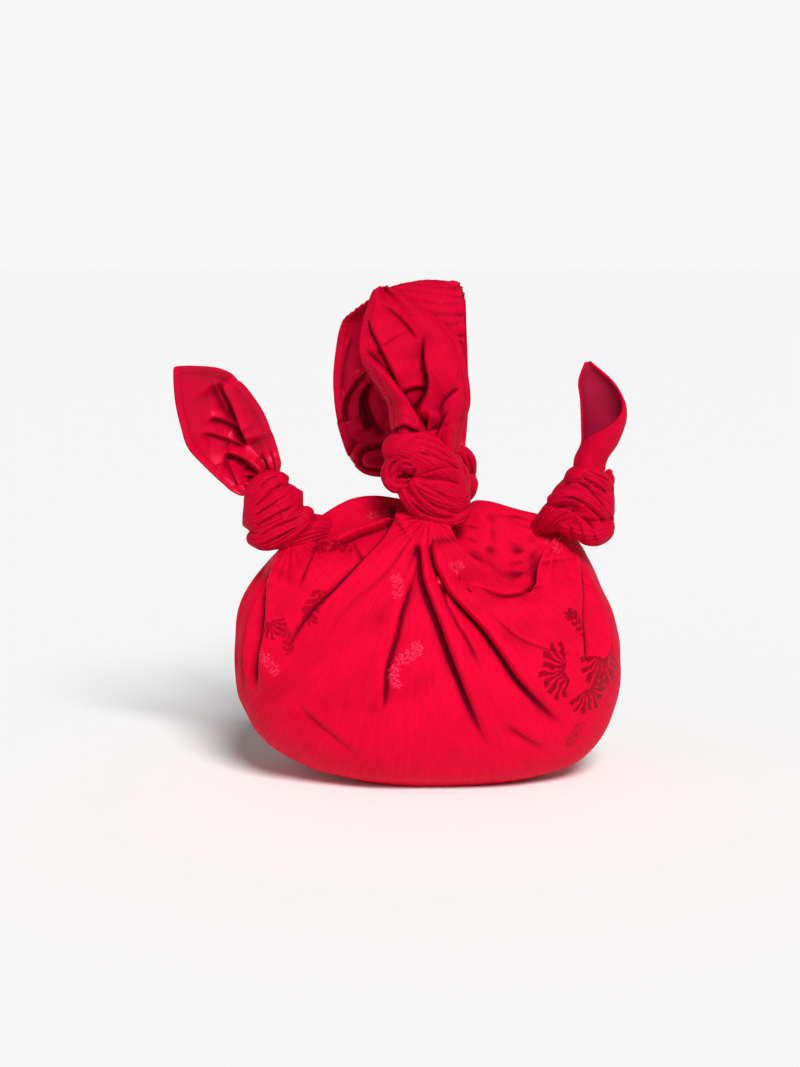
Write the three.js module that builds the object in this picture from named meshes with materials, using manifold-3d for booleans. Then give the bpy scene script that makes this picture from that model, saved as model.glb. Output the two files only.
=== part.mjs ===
// A knotted handbag of crepe silk lined with satin, tied from one square of cloth.
// The cloth's left and right corners are tied in a knot each, and each ends in a leaf-shaped tail.
// The front and rear corners are knotted side by side above the mouth, and their two broad tails
// fold over each other into the handle. The mouth is a slit on each side of the knots.
// Lengths are millimetres: x to the right, y to the back, z up. The origin is the centre of the flat base.
import * as THREE from "three";
import { mergeVertices } from "three/addons/utils/BufferGeometryUtils.js";
import Module from "manifold-3d";

const wasm = await Module();
wasm.setup();

// Sizes of the pouch
const bagWidth = 302; // across the belly
const bagDepth = 168; // front to back at the belly
const bagHeight = 214; // up to the crest of the rear panel
const wall = 2; // crepe, padding and lining together
const seatGap = 0.3; // between pieces of cloth that press on each other

// Sizes of the knots: height along the knot's own axis, width across it
const leftKnotHeight = 61;
const leftKnotWidth = 43;
const rightKnotHeight = 66;
const rightKnotWidth = 47;
const frontKnotHeight = 69;
const frontKnotWidth = 61;
const rearKnotHeight = 54;
const rearKnotWidth = 46;

// Sizes of the tails
const leftTailLength = 115;
const leftTailWidth = 67;
const rightTailLength = 84;
const rightTailWidth = 36;
const handleRise = 147; // from the front knot's middle to the crest of the handle
const handleWidth = 100; // across the widest part of the rear band
const frontTailWidth = 84;
const handleDepth = 78; // front to back inside the loop
const tailWall = 1.8;
const rootFoldDepth = 2.4;

// Sections of the pouch from the base up. rise is a share of bagHeight, left and right of half of
// bagWidth, front and back of half of bagDepth. square is the plan's squareness, 2 for an ellipse.
const sections = [
  { place: 0.1, rise: 0, left: 0.42, right: 0.58, front: 0.5, back: 0.5, square: 2.1 },
  { place: 0.16, rise: 0.065, left: 0.7, right: 0.8, front: 0.74, back: 0.74, square: 2.2 },
  { place: 0.26, rise: 0.21, left: 0.925, right: 0.955, front: 0.93, back: 0.93, square: 2.3 },
  { place: 0.4, rise: 0.45, left: 1, right: 1, front: 1, back: 1, square: 2.3 },
];
const shoulder = { place: 0.56, lift: 0.56, left: 0.955, right: 0.93, front: 0.9, back: 0.93, square: 2.2 };
const browPlace = 0.76;

// The free edge of the cloth once round the mouth, with the brow below or behind it where the panel
// turns over. turn runs from the left corner by the front to the right corner and back by the rear.
// x is a share of half of bagWidth, y of half of bagDepth, and z of bagHeight.
const mouth = [
  { turn: 0, x: -0.69, y: 0, z: 0.885, browX: -0.8, browY: 0, browZ: 0.8 },
  { turn: 0.07, x: -0.66, y: -0.1, z: 0.88, browX: -0.78, browY: -0.26, browZ: 0.79 },
  { turn: 0.12, x: -0.56, y: -0.17, z: 0.875, browX: -0.65, browY: -0.5, browZ: 0.79 },
  { turn: 0.166, x: -0.38, y: -0.22, z: 0.915, browX: -0.44, browY: -0.62, browZ: 0.82 },
  { turn: 0.204, x: -0.2, y: -0.26, z: 0.96, browX: -0.24, browY: -0.65, browZ: 0.86 },
  { turn: 0.228, x: -0.09, y: -0.33, z: 0.985, browX: -0.12, browY: -0.63, browZ: 0.87 },
  { turn: 0.25, x: 0.01, y: -0.4, z: 1.0, browX: 0, browY: -0.66, browZ: 0.87 },
  { turn: 0.272, x: 0.1, y: -0.42, z: 0.96, browX: 0.08, browY: -0.72, browZ: 0.82 },
  { turn: 0.288, x: 0.165, y: -0.48, z: 0.872, browX: 0.15, browY: -0.78, browZ: 0.755 },
  { turn: 0.304, x: 0.235, y: -0.5, z: 0.825, browX: 0.24, browY: -0.8, browZ: 0.715 },
  { turn: 0.328, x: 0.34, y: -0.52, z: 0.78, browX: 0.36, browY: -0.79, browZ: 0.685 },
  { turn: 0.361, x: 0.48, y: -0.6, z: 0.715, browX: 0.53, browY: -0.74, browZ: 0.655 },
  { turn: 0.387, x: 0.535, y: -0.54, z: 0.73, browX: 0.64, browY: -0.63, browZ: 0.655 },
  { turn: 0.412, x: 0.555, y: -0.41, z: 0.785, browX: 0.73, browY: -0.47, browZ: 0.69 },
  { turn: 0.445, x: 0.6, y: -0.2, z: 0.85, browX: 0.8, browY: -0.26, browZ: 0.75 },
  { turn: 0.5, x: 0.68, y: 0, z: 0.88, browX: 0.81, browY: 0, browZ: 0.8 },
  { turn: 0.552, x: 0.65, y: 0.05, z: 0.88, browX: 0.77, browY: 0.22, browZ: 0.86 },
  { turn: 0.583, x: 0.6, y: -0.05, z: 0.84, browX: 0.66, browY: 0.23, browZ: 0.92 },
  { turn: 0.612, x: 0.54, y: -0.26, z: 0.74, browX: 0.56, browY: 0.22, browZ: 0.955 },
  { turn: 0.634, x: 0.47, y: -0.38, z: 0.68, browX: 0.48, browY: 0.22, browZ: 0.97 },
  { turn: 0.654, x: 0.36, y: -0.36, z: 0.73, browX: 0.39, browY: 0.24, browZ: 0.985 },
  { turn: 0.68, x: 0.25, y: -0.31, z: 0.79, browX: 0.28, browY: 0.32, browZ: 1 },
  { turn: 0.702, x: 0.2, y: -0.18, z: 0.87, browX: 0.235, browY: 0.42, browZ: 0.985 },
  { turn: 0.724, x: 0.165, y: 0.2, z: 0.955, browX: 0.19, browY: 0.54, browZ: 0.95 },
  { turn: 0.75, x: 0.09, y: 0.38, z: 0.96, browX: 0.09, browY: 0.63, browZ: 0.925 },
  { turn: 0.772, x: 0.01, y: 0.24, z: 0.96, browX: -0.03, browY: 0.54, browZ: 0.955 },
  { turn: 0.794, x: -0.085, y: -0.02, z: 0.95, browX: -0.15, browY: 0.41, browZ: 0.99 },
  { turn: 0.822, x: -0.21, y: -0.095, z: 0.945, browX: -0.28, browY: 0.31, browZ: 1.005 },
  { turn: 0.855, x: -0.385, y: -0.07, z: 0.905, browX: -0.41, browY: 0.26, browZ: 0.995 },
  { turn: 0.893, x: -0.545, y: -0.035, z: 0.862, browX: -0.56, browY: 0.2, browZ: 0.94 },
  { turn: 0.94, x: -0.65, y: 0.06, z: 0.88, browX: -0.72, browY: 0.18, browZ: 0.86 },
];

// Folds pressed into the panels. top and foot are turns at the mouth and the base, from and to are
// places up the pouch, width is in turns, and depth is a share of bagDepth, inwards above 0.
const folds = [
  { name: "left drape", top: 0.212, foot: 0.13, from: 0.36, to: 0.98, width: 0.014, depth: 0.036 },
  { name: "soft crease", top: 0.24, foot: 0.205, from: 0.2, to: 0.98, width: 0.012, depth: 0.018 },
  { name: "tuck left edge", top: 0.252, foot: 0.305, from: 0.1, to: 0.86, width: 0.012, depth: 0.03 },
  { name: "tuck ridge", top: 0.261, foot: 0.345, from: 0.16, to: 0.84, width: 0.014, depth: -0.024 },
  { name: "tuck right edge", top: 0.27, foot: 0.385, from: 0.2, to: 0.8, width: 0.013, depth: 0.036 },
  { name: "right corner drape", top: 0.43, foot: 0.4, from: 0.4, to: 0.95, width: 0.014, depth: 0.024 },
  { name: "left side fold", top: 0.05, foot: 0.06, from: 0.16, to: 0.85, width: 0.014, depth: 0.03 },
  { name: "rear left drape", top: 0.79, foot: 0.84, from: 0.2, to: 0.98, width: 0.014, depth: 0.03 },
  { name: "rear middle crease", top: 0.755, foot: 0.75, from: 0.2, to: 1, width: 0.012, depth: 0.018 },
  { name: "rear right drape", top: 0.712, foot: 0.665, from: 0.2, to: 0.98, width: 0.014, depth: 0.03 },
];

// Lobes of each knot: x across the knot, y its depth and z along it, as shares of the knot's width,
// width and height, with its reaches on the same sizes. lean turns the lobe in the front view, in
// degrees to the right. ribs run along a lobe and hoops round it, and ridge is their height as a share
// of the knot's width.
const leftKnotLobes = [
  { x: 0, y: 0, z: 0.06, reachX: 0.46, reachY: 0.46, reachZ: 0.44, lean: 0, ribs: 0, hoops: 4, ridge: 0.03 },
  { x: 0.06, y: -0.05, z: -0.22, reachX: 0.46, reachY: 0.42, reachZ: 0.26, lean: 8, ribs: 5, hoops: 0, ridge: 0.028 },
];
const rightKnotLobes = [
  { x: 0, y: 0, z: 0.14, reachX: 0.42, reachY: 0.42, reachZ: 0.44, lean: 8, ribs: 0, hoops: 4, ridge: 0.03 },
  { x: 0.2, y: -0.06, z: -0.28, reachX: 0.34, reachY: 0.36, reachZ: 0.17, lean: -24, ribs: 5, hoops: 0, ridge: 0.023 },
  { x: -0.3, y: 0, z: -0.24, reachX: 0.28, reachY: 0.3, reachZ: 0.2, lean: -10, ribs: 0, hoops: 2, ridge: 0.021 },
];
const frontKnotLobes = [
  { x: -0.07, y: -0.06, z: 0.24, reachX: 0.27, reachY: 0.36, reachZ: 0.48, lean: 120, ribs: 5, hoops: 0, ridge: 0.02 },
  { x: 0.12, y: -0.02, z: -0.14, reachX: 0.32, reachY: 0.4, reachZ: 0.42, lean: 100, ribs: 5, hoops: 0, ridge: 0.021 },
  { x: -0.34, y: 0, z: 0.03, reachX: 0.17, reachY: 0.3, reachZ: 0.21, lean: 8, ribs: 5, hoops: 0, ridge: 0.016 },
  { x: 0.1, y: -0.02, z: -0.36, reachX: 0.12, reachY: 0.36, reachZ: 0.42, lean: 108, ribs: 0, hoops: 0, ridge: 0 },
  { x: 0.36, y: 0.02, z: 0.14, reachX: 0.14, reachY: 0.22, reachZ: 0.13, lean: 20, ribs: 0, hoops: 3, ridge: 0.013 },
];
const rearKnotLobes = [
  { x: -0.06, y: 0, z: 0.02, reachX: 0.42, reachY: 0.42, reachZ: 0.48, lean: 0, ribs: 5, hoops: 0, ridge: 0.026 },
  { x: 0.3, y: -0.04, z: 0.14, reachX: 0.22, reachY: 0.26, reachZ: 0.22, lean: -20, ribs: 0, hoops: 3, ridge: 0.02 },
  { x: 0.36, y: 0.02, z: -0.14, reachX: 0.15, reachY: 0.22, reachZ: 0.17, lean: 15, ribs: 0, hoops: 2, ridge: 0.015 },
];

// Tails by rows from the root to the tip. along is a share of the tail's length, left and right are
// shares of its width from the tail's axis, back is the depth of the middle behind the root and cup
// how far the middle lies behind the edges, both as shares of the width.
const leftTailRows = [
  { along: -0.08, left: -0.14, right: 0.14, back: 0, cup: 0.02 },
  { along: 0.01, left: -0.19, right: 0.18, back: 0, cup: 0.05 },
  { along: 0.07, left: -0.34, right: 0.27, back: 0, cup: 0.1 },
  { along: 0.2, left: -0.4, right: 0.35, back: 0.02, cup: 0.17 },
  { along: 0.37, left: -0.45, right: 0.45, back: 0.06, cup: 0.2 },
  { along: 0.53, left: -0.465, right: 0.49, back: 0.06, cup: 0.17 },
  { along: 0.66, left: -0.38, right: 0.485, back: 0.04, cup: 0.13 },
  { along: 0.8, left: -0.26, right: 0.39, back: 0, cup: 0.08 },
  { along: 0.92, left: -0.12, right: 0.185, back: -0.05, cup: 0.03 },
  { along: 1, left: -0.01, right: 0.01, back: -0.08, cup: 0 },
];
// The right tail is rolled lengthwise: open is how far its front flap is turned back, in degrees from
// closed at the root, and deep is the roll's depth as a share of the tail's width.
const rightTailRows = [
  { along: -0.1, left: -0.28, right: 0.28, open: 0, deep: 0.24 },
  { along: 0.11, left: -0.28, right: 0.35, open: 0, deep: 0.26 },
  { along: 0.26, left: -0.14, right: 0.57, open: 8, deep: 0.3 },
  { along: 0.42, left: -0.14, right: 0.72, open: 86, deep: 0.33 },
  { along: 0.54, left: -0.15, right: 0.76, open: 126, deep: 0.33 },
  { along: 0.67, left: -0.17, right: 0.68, open: 152, deep: 0.28 },
  { along: 0.83, left: -0.21, right: 0.44, open: 172, deep: 0.18 },
  { along: 1, left: -0.08, right: -0.02, open: 180, deep: 0.04 },
];
// The front tail stands up from the front knot. rise is a share of handleRise, left and right are
// shares of frontTailWidth, back is a share of handleDepth, and bulge is the middle's reach forwards.
const frontTailRows = [
  { rise: 0.12, left: -0.29, right: 0.28, back: -0.04, bulge: 0.06 },
  { rise: 0.21, left: -0.32, right: 0.305, back: -0.06, bulge: 0.1 },
  { rise: 0.28, left: -0.34, right: 0.33, back: -0.08, bulge: 0.12 },
  { rise: 0.39, left: -0.37, right: 0.375, back: -0.1, bulge: 0.13 },
  { rise: 0.55, left: -0.55, right: 0.345, back: -0.1, bulge: 0.13 },
  { rise: 0.635, left: -0.615, right: 0.31, back: -0.06, bulge: 0.12 },
  { rise: 0.72, left: -0.62, right: 0.25, back: 0, bulge: 0.11 },
  { rise: 0.8, left: -0.59, right: 0.11, back: 0.07, bulge: 0.09 },
  { rise: 0.865, left: -0.55, right: -0.05, back: 0.14, bulge: 0.06 },
  { rise: 0.945, left: -0.5, right: -0.28, back: 0.24, bulge: 0.02 },
  { rise: 0.97, left: -0.44, right: -0.37, back: 0.27, bulge: 0 },
];
// The rear band rises from the rear knot, turns over the handle's crest and comes down behind the
// front tail. Heights are shares of handleRise, sideways places of handleWidth, and depths of handleDepth.
const rearBandRows = [
  { along: 0, leftX: 0, leftY: 0.7, leftZ: 0.01, rightX: 0.24, rightY: 0.7, rightZ: 0.04, bulge: 0 },
  { along: 0.08, leftX: -0.33, leftY: 0.77, leftZ: -0.04, rightX: 0.29, rightY: 0.82, rightZ: 0.09, bulge: 0.06 },
  { along: 0.2, leftX: -0.555, leftY: 0.85, leftZ: 0, rightX: 0.315, rightY: 0.9, rightZ: 0.21, bulge: 0.1 },
  { along: 0.34, leftX: -0.695, leftY: 0.87, leftZ: 0.2, rightX: 0.325, rightY: 0.95, rightZ: 0.38, bulge: 0.12 },
  { along: 0.48, leftX: -0.74, leftY: 0.88, leftZ: 0.41, rightX: 0.32, rightY: 0.95, rightZ: 0.59, bulge: 0.1 },
  { along: 0.62, leftX: -0.7, leftY: 0.84, leftZ: 0.6, rightX: 0.3, rightY: 0.85, rightZ: 0.77, bulge: 0.06 },
  { along: 0.74, leftX: -0.62, leftY: 0.72, leftZ: 0.74, rightX: 0.27, rightY: 0.68, rightZ: 0.92, bulge: 0 },
  { along: 0.84, leftX: -0.46, leftY: 0.58, leftZ: 0.84, rightX: 0.19, rightY: 0.48, rightZ: 0.99, bulge: -0.02 },
  { along: 0.92, leftX: -0.31, leftY: 0.42, leftZ: 0.84, rightX: 0.24, rightY: 0.34, rightZ: 0.9, bulge: -0.04 },
  { along: 1, leftX: -0.22, leftY: 0.34, leftZ: 0.7, rightX: 0.26, rightY: 0.27, rightZ: 0.68, bulge: -0.03 },
];

// Mesh density
const pouchColumns = 68;
const pouchRows = 18;
const tailColumns = 10;
const tailRows = 12;
const lobeColumns = 16;
const lobeRows = 9;

// The base's fan of triangles meets beside the origin, so that the origin lies inside one of them.
const fanPoint = new THREE.Vector3(5, 4, 0);

const crepe = new THREE.MeshStandardMaterial({ color: 0xd80f3c, roughness: 0.7, metalness: 0 });
const satin = new THREE.MeshStandardMaterial({ color: 0xc4082f, roughness: 0.35, metalness: 0 });

const clamp01 = (v) => Math.min(1, Math.max(0, v));
const smooth = (v) => clamp01(v) ** 2 * (3 - 2 * clamp01(v));
const mix = (a, b, share) => a + (b - a) * share;

// The value of one column of a table at a place, by a smooth curve through its rows.
// period is the length of a table that closes on itself.
function valueAt(rows, placeName, valueName, place, period = 0) {
  const count = rows.length;
  const at = (i) => {
    const wraps = period ? Math.floor(i / count) : 0;
    const row = rows[period ? i - wraps * count : Math.min(count - 1, Math.max(0, i))];
    return [row[placeName] + wraps * period, row[valueName]];
  };
  let i = 0;
  while (i < count - (period ? 1 : 2) && at(i + 1)[0] <= place) i += 1;
  const [p0, p1, p2, p3] = [at(i - 1), at(i), at(i + 1), at(i + 2)];
  const span = p2[0] - p1[0];
  const slope = (a, b) => (b[0] === a[0] ? 0 : (b[1] - a[1]) / (b[0] - a[0]));
  const startSlope = slope(p0, p2) * span;
  const endSlope = slope(p1, p3) * span;
  const t = clamp01((place - p1[0]) / span);
  return (
    p1[1] * (2 * t ** 3 - 3 * t ** 2 + 1) +
    startSlope * (t ** 3 - 2 * t ** 2 + t) +
    p2[1] * (3 * t ** 2 - 2 * t ** 3) +
    endSlope * (t ** 3 - t ** 2)
  );
}

// A point of the pouch's plan at one turn, for reaches given as shares of the half sizes.
function planPoint(shape, turn, z) {
  const across = -Math.cos(2 * Math.PI * turn);
  const deep = -Math.sin(2 * Math.PI * turn);
  const power = 2 / shape.square;
  const reachX = (bagWidth / 2) * mix(shape.left, shape.right, smooth(across * 1.5 + 0.5));
  const reachY = (bagDepth / 2) * mix(shape.front, shape.back, smooth(deep * 1.5 + 0.5));
  return new THREE.Vector3(
    Math.sign(across) * Math.abs(across) ** power * reachX,
    Math.sign(deep) * Math.abs(deep) ** power * reachY,
    z,
  );
}

// The rings of the pouch at one turn: its plan sections, its shoulder, its brow and its free edge.
function ringsAt(turn) {
  const edge = (name) => valueAt(mouth, "turn", name, turn, 1);
  const brow = new THREE.Vector3(
    (edge("browX") * bagWidth) / 2,
    (edge("browY") * bagDepth) / 2,
    edge("browZ") * bagHeight,
  );
  const rim = new THREE.Vector3((edge("x") * bagWidth) / 2, (edge("y") * bagDepth) / 2, edge("z") * bagHeight);
  const rings = sections.map((s) => ({ place: s.place, point: planPoint(s, turn, s.rise * bagHeight) }));
  const belly = rings.at(-1).point;
  const browDrop = Math.min(brow.z, 0.84 * bagHeight);
  rings.push({ place: shoulder.place, point: planPoint(shoulder, turn, mix(belly.z, browDrop, shoulder.lift)) });
  rings.push({ place: browPlace, point: brow });
  rings.push({ place: 1, point: rim });
  return rings.map((r) => ({ place: r.place, x: r.point.x, y: r.point.y, z: r.point.z }));
}

function pouchPoint(rings, place) {
  const edge = rings[0];
  if (place <= edge.place) {
    const share = place / edge.place;
    return new THREE.Vector3(mix(fanPoint.x, edge.x, share), mix(fanPoint.y, edge.y, share), 0);
  }
  const value = (name) => valueAt(rings, "place", name, place);
  return new THREE.Vector3(value("x"), value("y"), Math.max(0, value("z")));
}

// How far the folds press the cloth in at one turn and place.
function foldDepth(turn, place) {
  let depth = 0;
  for (const f of folds) {
    const middle = mix(f.foot, f.top, smooth(place));
    let off = Math.abs(turn - middle);
    off = Math.min(off, 1 - off) / f.width;
    const fade = smooth((place - f.from) / 0.15) * smooth((f.to + 0.1 - place) / 0.12);
    depth += f.depth * bagDepth * fade * Math.exp(-off * off);
  }
  return depth;
}

// Unit normals of a grid of points, facing out where rows run up and columns run to the right.
function gridNormals(grid, closed) {
  const rows = grid.length;
  const columns = grid[0].length;
  return grid.map((row, r) =>
    row.map((_, c) => {
      const nextColumn = closed ? (c + 1) % columns : Math.min(c + 1, columns - 1);
      const lastColumn = closed ? (c + columns - 1) % columns : Math.max(c - 1, 0);
      const across = row[nextColumn].clone().sub(row[lastColumn]);
      const up = grid[Math.min(r + 1, rows - 1)][c].clone().sub(grid[Math.max(r - 1, 0)][c]);
      return across.cross(up).normalize();
    }),
  );
}

const shifted = (grid, normals, distance) =>
  grid.map((row, r) => row.map((p, c) => p.clone().addScaledVector(normals[r][c], distance)));

// A closed mesh from lists of points and of triangles.
function meshGeometry(points, triangles) {
  const geometry = new THREE.BufferGeometry().setFromPoints(points);
  geometry.setIndex(triangles.flat());
  return geometry;
}

// Triangles of a grid of vertex numbers, turned round where flip is set.
function gridTriangles(rows, columns, closed, first, flip) {
  const triangles = [];
  const lastColumn = closed ? columns : columns - 1;
  for (let r = 0; r < rows - 1; r += 1)
    for (let c = 0; c < lastColumn; c += 1) {
      const a = first + r * columns + c;
      const b = first + r * columns + ((c + 1) % columns);
      const d = a + columns;
      const e = b + columns;
      triangles.push(...(flip ? [[a, d, b], [b, d, e]] : [[a, b, d], [b, e, d]]));
    }
  return triangles;
}

// A sheet of cloth with a wall: the outer and inner grids and the strips that close its edges.
function sheetGeometry(outer, inner) {
  const rows = outer.length;
  const columns = outer[0].length;
  const size = rows * columns;
  const triangles = [
    ...gridTriangles(rows, columns, false, 0, false),
    ...gridTriangles(rows, columns, false, size, true),
  ];
  const border = [];
  for (let c = 0; c < columns - 1; c += 1) border.push(c);
  for (let r = 0; r < rows - 1; r += 1) border.push(r * columns + columns - 1);
  for (let c = columns - 1; c > 0; c -= 1) border.push((rows - 1) * columns + c);
  for (let r = rows - 1; r > 0; r -= 1) border.push(r * columns);
  border.forEach((a, i) => {
    const b = border[(i + 1) % border.length];
    triangles.push([a, a + size, b], [b, a + size, b + size]);
  });
  return meshGeometry([...outer.flat(), ...inner.flat()], triangles);
}

// The pouch's wall between two depths under its outer face.
function pouchGeometry(outerDepth, innerDepth) {
  const smoothGrid = [];
  for (let r = 1; r <= pouchRows; r += 1) {
    smoothGrid.push([]);
    for (let c = 0; c < pouchColumns; c += 1)
      smoothGrid.at(-1).push(pouchPoint(ringsAt(c / pouchColumns), r / pouchRows));
  }
  const normals = gridNormals(smoothGrid, true);
  // The base stays flat, so its normals point straight down there.
  const down = new THREE.Vector3(0, 0, -1);
  normals.forEach((row, r) => {
    if ((r + 1) / pouchRows <= sections[0].place) row.forEach((n) => n.copy(down));
  });
  const folded = smoothGrid.map((row, r) =>
    row.map((p, c) => {
      const depth = foldDepth(c / pouchColumns, (r + 1) / pouchRows);
      return p.clone().addScaledVector(normals[r][c], -depth);
    }),
  );
  const outer = shifted(folded, normals, -outerDepth);
  const inner = shifted(folded, normals, -innerDepth);
  const size = pouchRows * pouchColumns;
  const points = [
    ...outer.flat(),
    ...inner.flat(),
    fanPoint.clone().addScaledVector(down, -outerDepth),
    fanPoint.clone().addScaledVector(down, -innerDepth),
  ];
  const triangles = [
    ...gridTriangles(pouchRows, pouchColumns, true, 0, false),
    ...gridTriangles(pouchRows, pouchColumns, true, size, true),
  ];
  const top = (pouchRows - 1) * pouchColumns;
  for (let c = 0; c < pouchColumns; c += 1) {
    const next = (c + 1) % pouchColumns;
    triangles.push([2 * size, next, c], [2 * size + 1, size + c, size + next]);
    triangles.push([top + c, top + next, size + top + c], [top + next, size + top + next, size + top + c]);
  }
  return meshGeometry(points, triangles);
}

// One lobe of a knot, a bulge of gathered cloth with ridges along it or round it.
function lobeGeometry(lobe, height, width, swell) {
  const points = [new THREE.Vector3(0, 0, -lobe.reachZ * height - swell)];
  for (let r = 1; r < lobeRows; r += 1)
    for (let c = 0; c < lobeColumns; c += 1) {
      const up = -Math.cos((Math.PI * r) / lobeRows);
      const angle = (2 * Math.PI * c) / lobeColumns;
      const girth = (1 - Math.abs(up) ** 2.4) ** 0.5;
      const wave = lobe.ribs ? Math.cos(lobe.ribs * angle) : Math.cos(lobe.hoops * Math.PI * (up + 1) + Math.cos(angle));
      const swollen = swell + lobe.ridge * width * wave * girth;
      points.push(
        new THREE.Vector3(
          Math.cos(angle) * (girth * lobe.reachX * width + swollen),
          Math.sin(angle) * (girth * lobe.reachY * width + swollen),
          up * (lobe.reachZ * height + swell),
        ),
      );
    }
  points.push(new THREE.Vector3(0, 0, lobe.reachZ * height + swell));
  const triangles = gridTriangles(lobeRows - 1, lobeColumns, true, 1, false);
  const last = points.length - 1;
  for (let c = 0; c < lobeColumns; c += 1) {
    const next = (c + 1) % lobeColumns;
    triangles.push([0, 1 + next, 1 + c], [last, last - lobeColumns + c, last - lobeColumns + next]);
  }
  const geometry = meshGeometry(points, triangles);
  geometry.rotateY(THREE.MathUtils.degToRad(lobe.lean));
  geometry.translate(lobe.x * width, lobe.y * width, lobe.z * height);
  return geometry;
}

function toSolid(geometry) {
  const merged = mergeVertices(geometry, 1e-4);
  return new wasm.Manifold(
    new wasm.Mesh({
      numProp: 3,
      vertProperties: new Float32Array(merged.attributes.position.array),
      triVerts: new Uint32Array(merged.index.array),
    }),
  );
}

function toGeometry(solid) {
  const mesh = solid.getMesh();
  const geometry = new THREE.BufferGeometry();
  geometry.setAttribute("position", new THREE.BufferAttribute(new Float32Array(mesh.vertProperties), 3));
  geometry.setIndex(new THREE.BufferAttribute(new Uint32Array(mesh.triVerts), 1));
  return geometry;
}

// The biggest piece of a solid, without the crumbs and slivers that a cut leaves.
function biggest(solid) {
  const pieces = solid.simplify(0.01).decompose();
  return pieces.reduce((best, one) => (one.volume() > best.volume() ? one : best));
}

// A knot at its place: its lobes joined, swollen by a clearance where something else is cut by it.
function knotSolid(knot, swell) {
  let solid = null;
  for (const lobe of knot.lobes) {
    const geometry = lobeGeometry(lobe, knot.height, knot.width, swell);
    geometry.rotateY(THREE.MathUtils.degToRad(knot.lean));
    geometry.translate(...knot.centre.toArray());
    const part = toSolid(geometry);
    solid = solid ? solid.add(part) : part;
  }
  return solid;
}

// Where a knot sits: its middle lies above the mouth's corner along its own axis by a share of its height.
function knotAt(turn, height, width, lean, lobes, lift, sideways, back) {
  const corner = ringsAt(turn).at(-1);
  const tilt = THREE.MathUtils.degToRad(lean);
  const centre = new THREE.Vector3(corner.x, corner.y, corner.z);
  centre.add(new THREE.Vector3(Math.sin(tilt), 0, Math.cos(tilt)).multiplyScalar(lift * height));
  centre.add(new THREE.Vector3(sideways * width, back * width, 0));
  return { centre, height, width, lean, lobes };
}

// A tail's sheet from its outer grid, with the wall inwards.
function tailGeometry(point, depthOut, depthIn) {
  const grid = [];
  for (let r = 0; r <= tailRows; r += 1) {
    grid.push([]);
    for (let c = 0; c <= tailColumns; c += 1) grid.at(-1).push(point(c / tailColumns, r / tailRows));
  }
  const normals = gridNormals(grid, false);
  return sheetGeometry(shifted(grid, normals, -depthOut), shifted(grid, normals, -depthIn));
}

// Three accordion folds at a tail's root, dying out up the tail.
const rootFolds = (across, along) => rootFoldDepth * Math.cos(6 * Math.PI * across) * (1 - smooth(along / 0.55));

function leafPoint(rows, length, width) {
  return (across, share) => {
    const along = mix(rows[0].along, 1, share);
    const value = (name) => valueAt(rows, "along", name, along) * width;
    const x = mix(value("left"), value("right"), across);
    const y = value("back") + value("cup") * 4 * across * (1 - across) + rootFolds(across, share);
    return new THREE.Vector3(x, y, along * length);
  };
}

function rolledPoint(rows, length, width) {
  return (across, share) => {
    const along = mix(rows[0].along, 1, share);
    const value = (name) => valueAt(rows, "along", name, along);
    const middle = ((value("left") + value("right")) / 2) * width;
    const half = ((value("right") - value("left")) / 2) * width;
    // The roll starts at its left edge, runs round the back and the right side, and ends in the flap.
    const angle = THREE.MathUtils.degToRad(mix(178, -172 + value("open"), across));
    return new THREE.Vector3(
      middle + Math.cos(angle) * half,
      Math.sin(angle) * value("deep") * width + 0.5 * rootFolds(across, share),
      along * length,
    );
  };
}

function frontTailPoint(base) {
  return (across, share) => {
    const rise = mix(frontTailRows[0].rise, frontTailRows.at(-1).rise, share);
    const value = (name) => valueAt(frontTailRows, "rise", name, rise);
    const x = base.x + mix(value("left"), value("right"), across) * frontTailWidth;
    const bulge = value("bulge") * 4 * across * (1 - across) + 0.05 * Math.sin(3 * Math.PI * across);
    const y = base.y + (value("back") - bulge) * handleDepth + rootFolds(across, share);
    return new THREE.Vector3(x, y, base.z + rise * handleRise);
  };
}

function rearBandPoint(base) {
  return (across, share) => {
    const value = (name) => valueAt(rearBandRows, "along", name, share);
    const bow = value("bulge") * 4 * across * (1 - across);
    return new THREE.Vector3(
      base.x + mix(value("leftX"), value("rightX"), across) * handleWidth,
      base.y + (mix(value("leftY"), value("rightY"), across) + bow) * handleDepth + rootFolds(across, share),
      base.z + mix(value("leftZ"), value("rightZ"), across) * handleRise,
    );
  };
}

// The knots on their corners
const leftKnot = knotAt(0, leftKnotHeight, leftKnotWidth, -23, leftKnotLobes, 0.32, -0.09, -0.04);
const rightKnot = knotAt(0.5, rightKnotHeight, rightKnotWidth, 27, rightKnotLobes, 0.38, 0.05, -0.04);
const frontKnot = knotAt(0.25, frontKnotHeight, frontKnotWidth, 0, frontKnotLobes, 0.35, -0.02, 0.19);
const rearKnot = knotAt(0.75, rearKnotHeight, rearKnotWidth, 0, rearKnotLobes, 0.42, 0.02, 0.02);

const pouch = toSolid(pouchGeometry(0, wall));
const pouchClearance = toSolid(pouchGeometry(-seatGap, wall + seatGap));
const knots = { left: leftKnot, right: rightKnot, front: frontKnot, rear: rearKnot };
const grown = Object.fromEntries(Object.entries(knots).map(([name, k]) => [name, knotSolid(k, seatGap)]));
const knotBodies = Object.fromEntries(
  Object.entries(knots).map(([name, k]) => [name, knotSolid(k, 0).subtract(pouchClearance).subtract(pouch)]),
);
// The rear knot is pressed against the front one.
knotBodies.rear = knotBodies.rear.subtract(grown.front);

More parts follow.
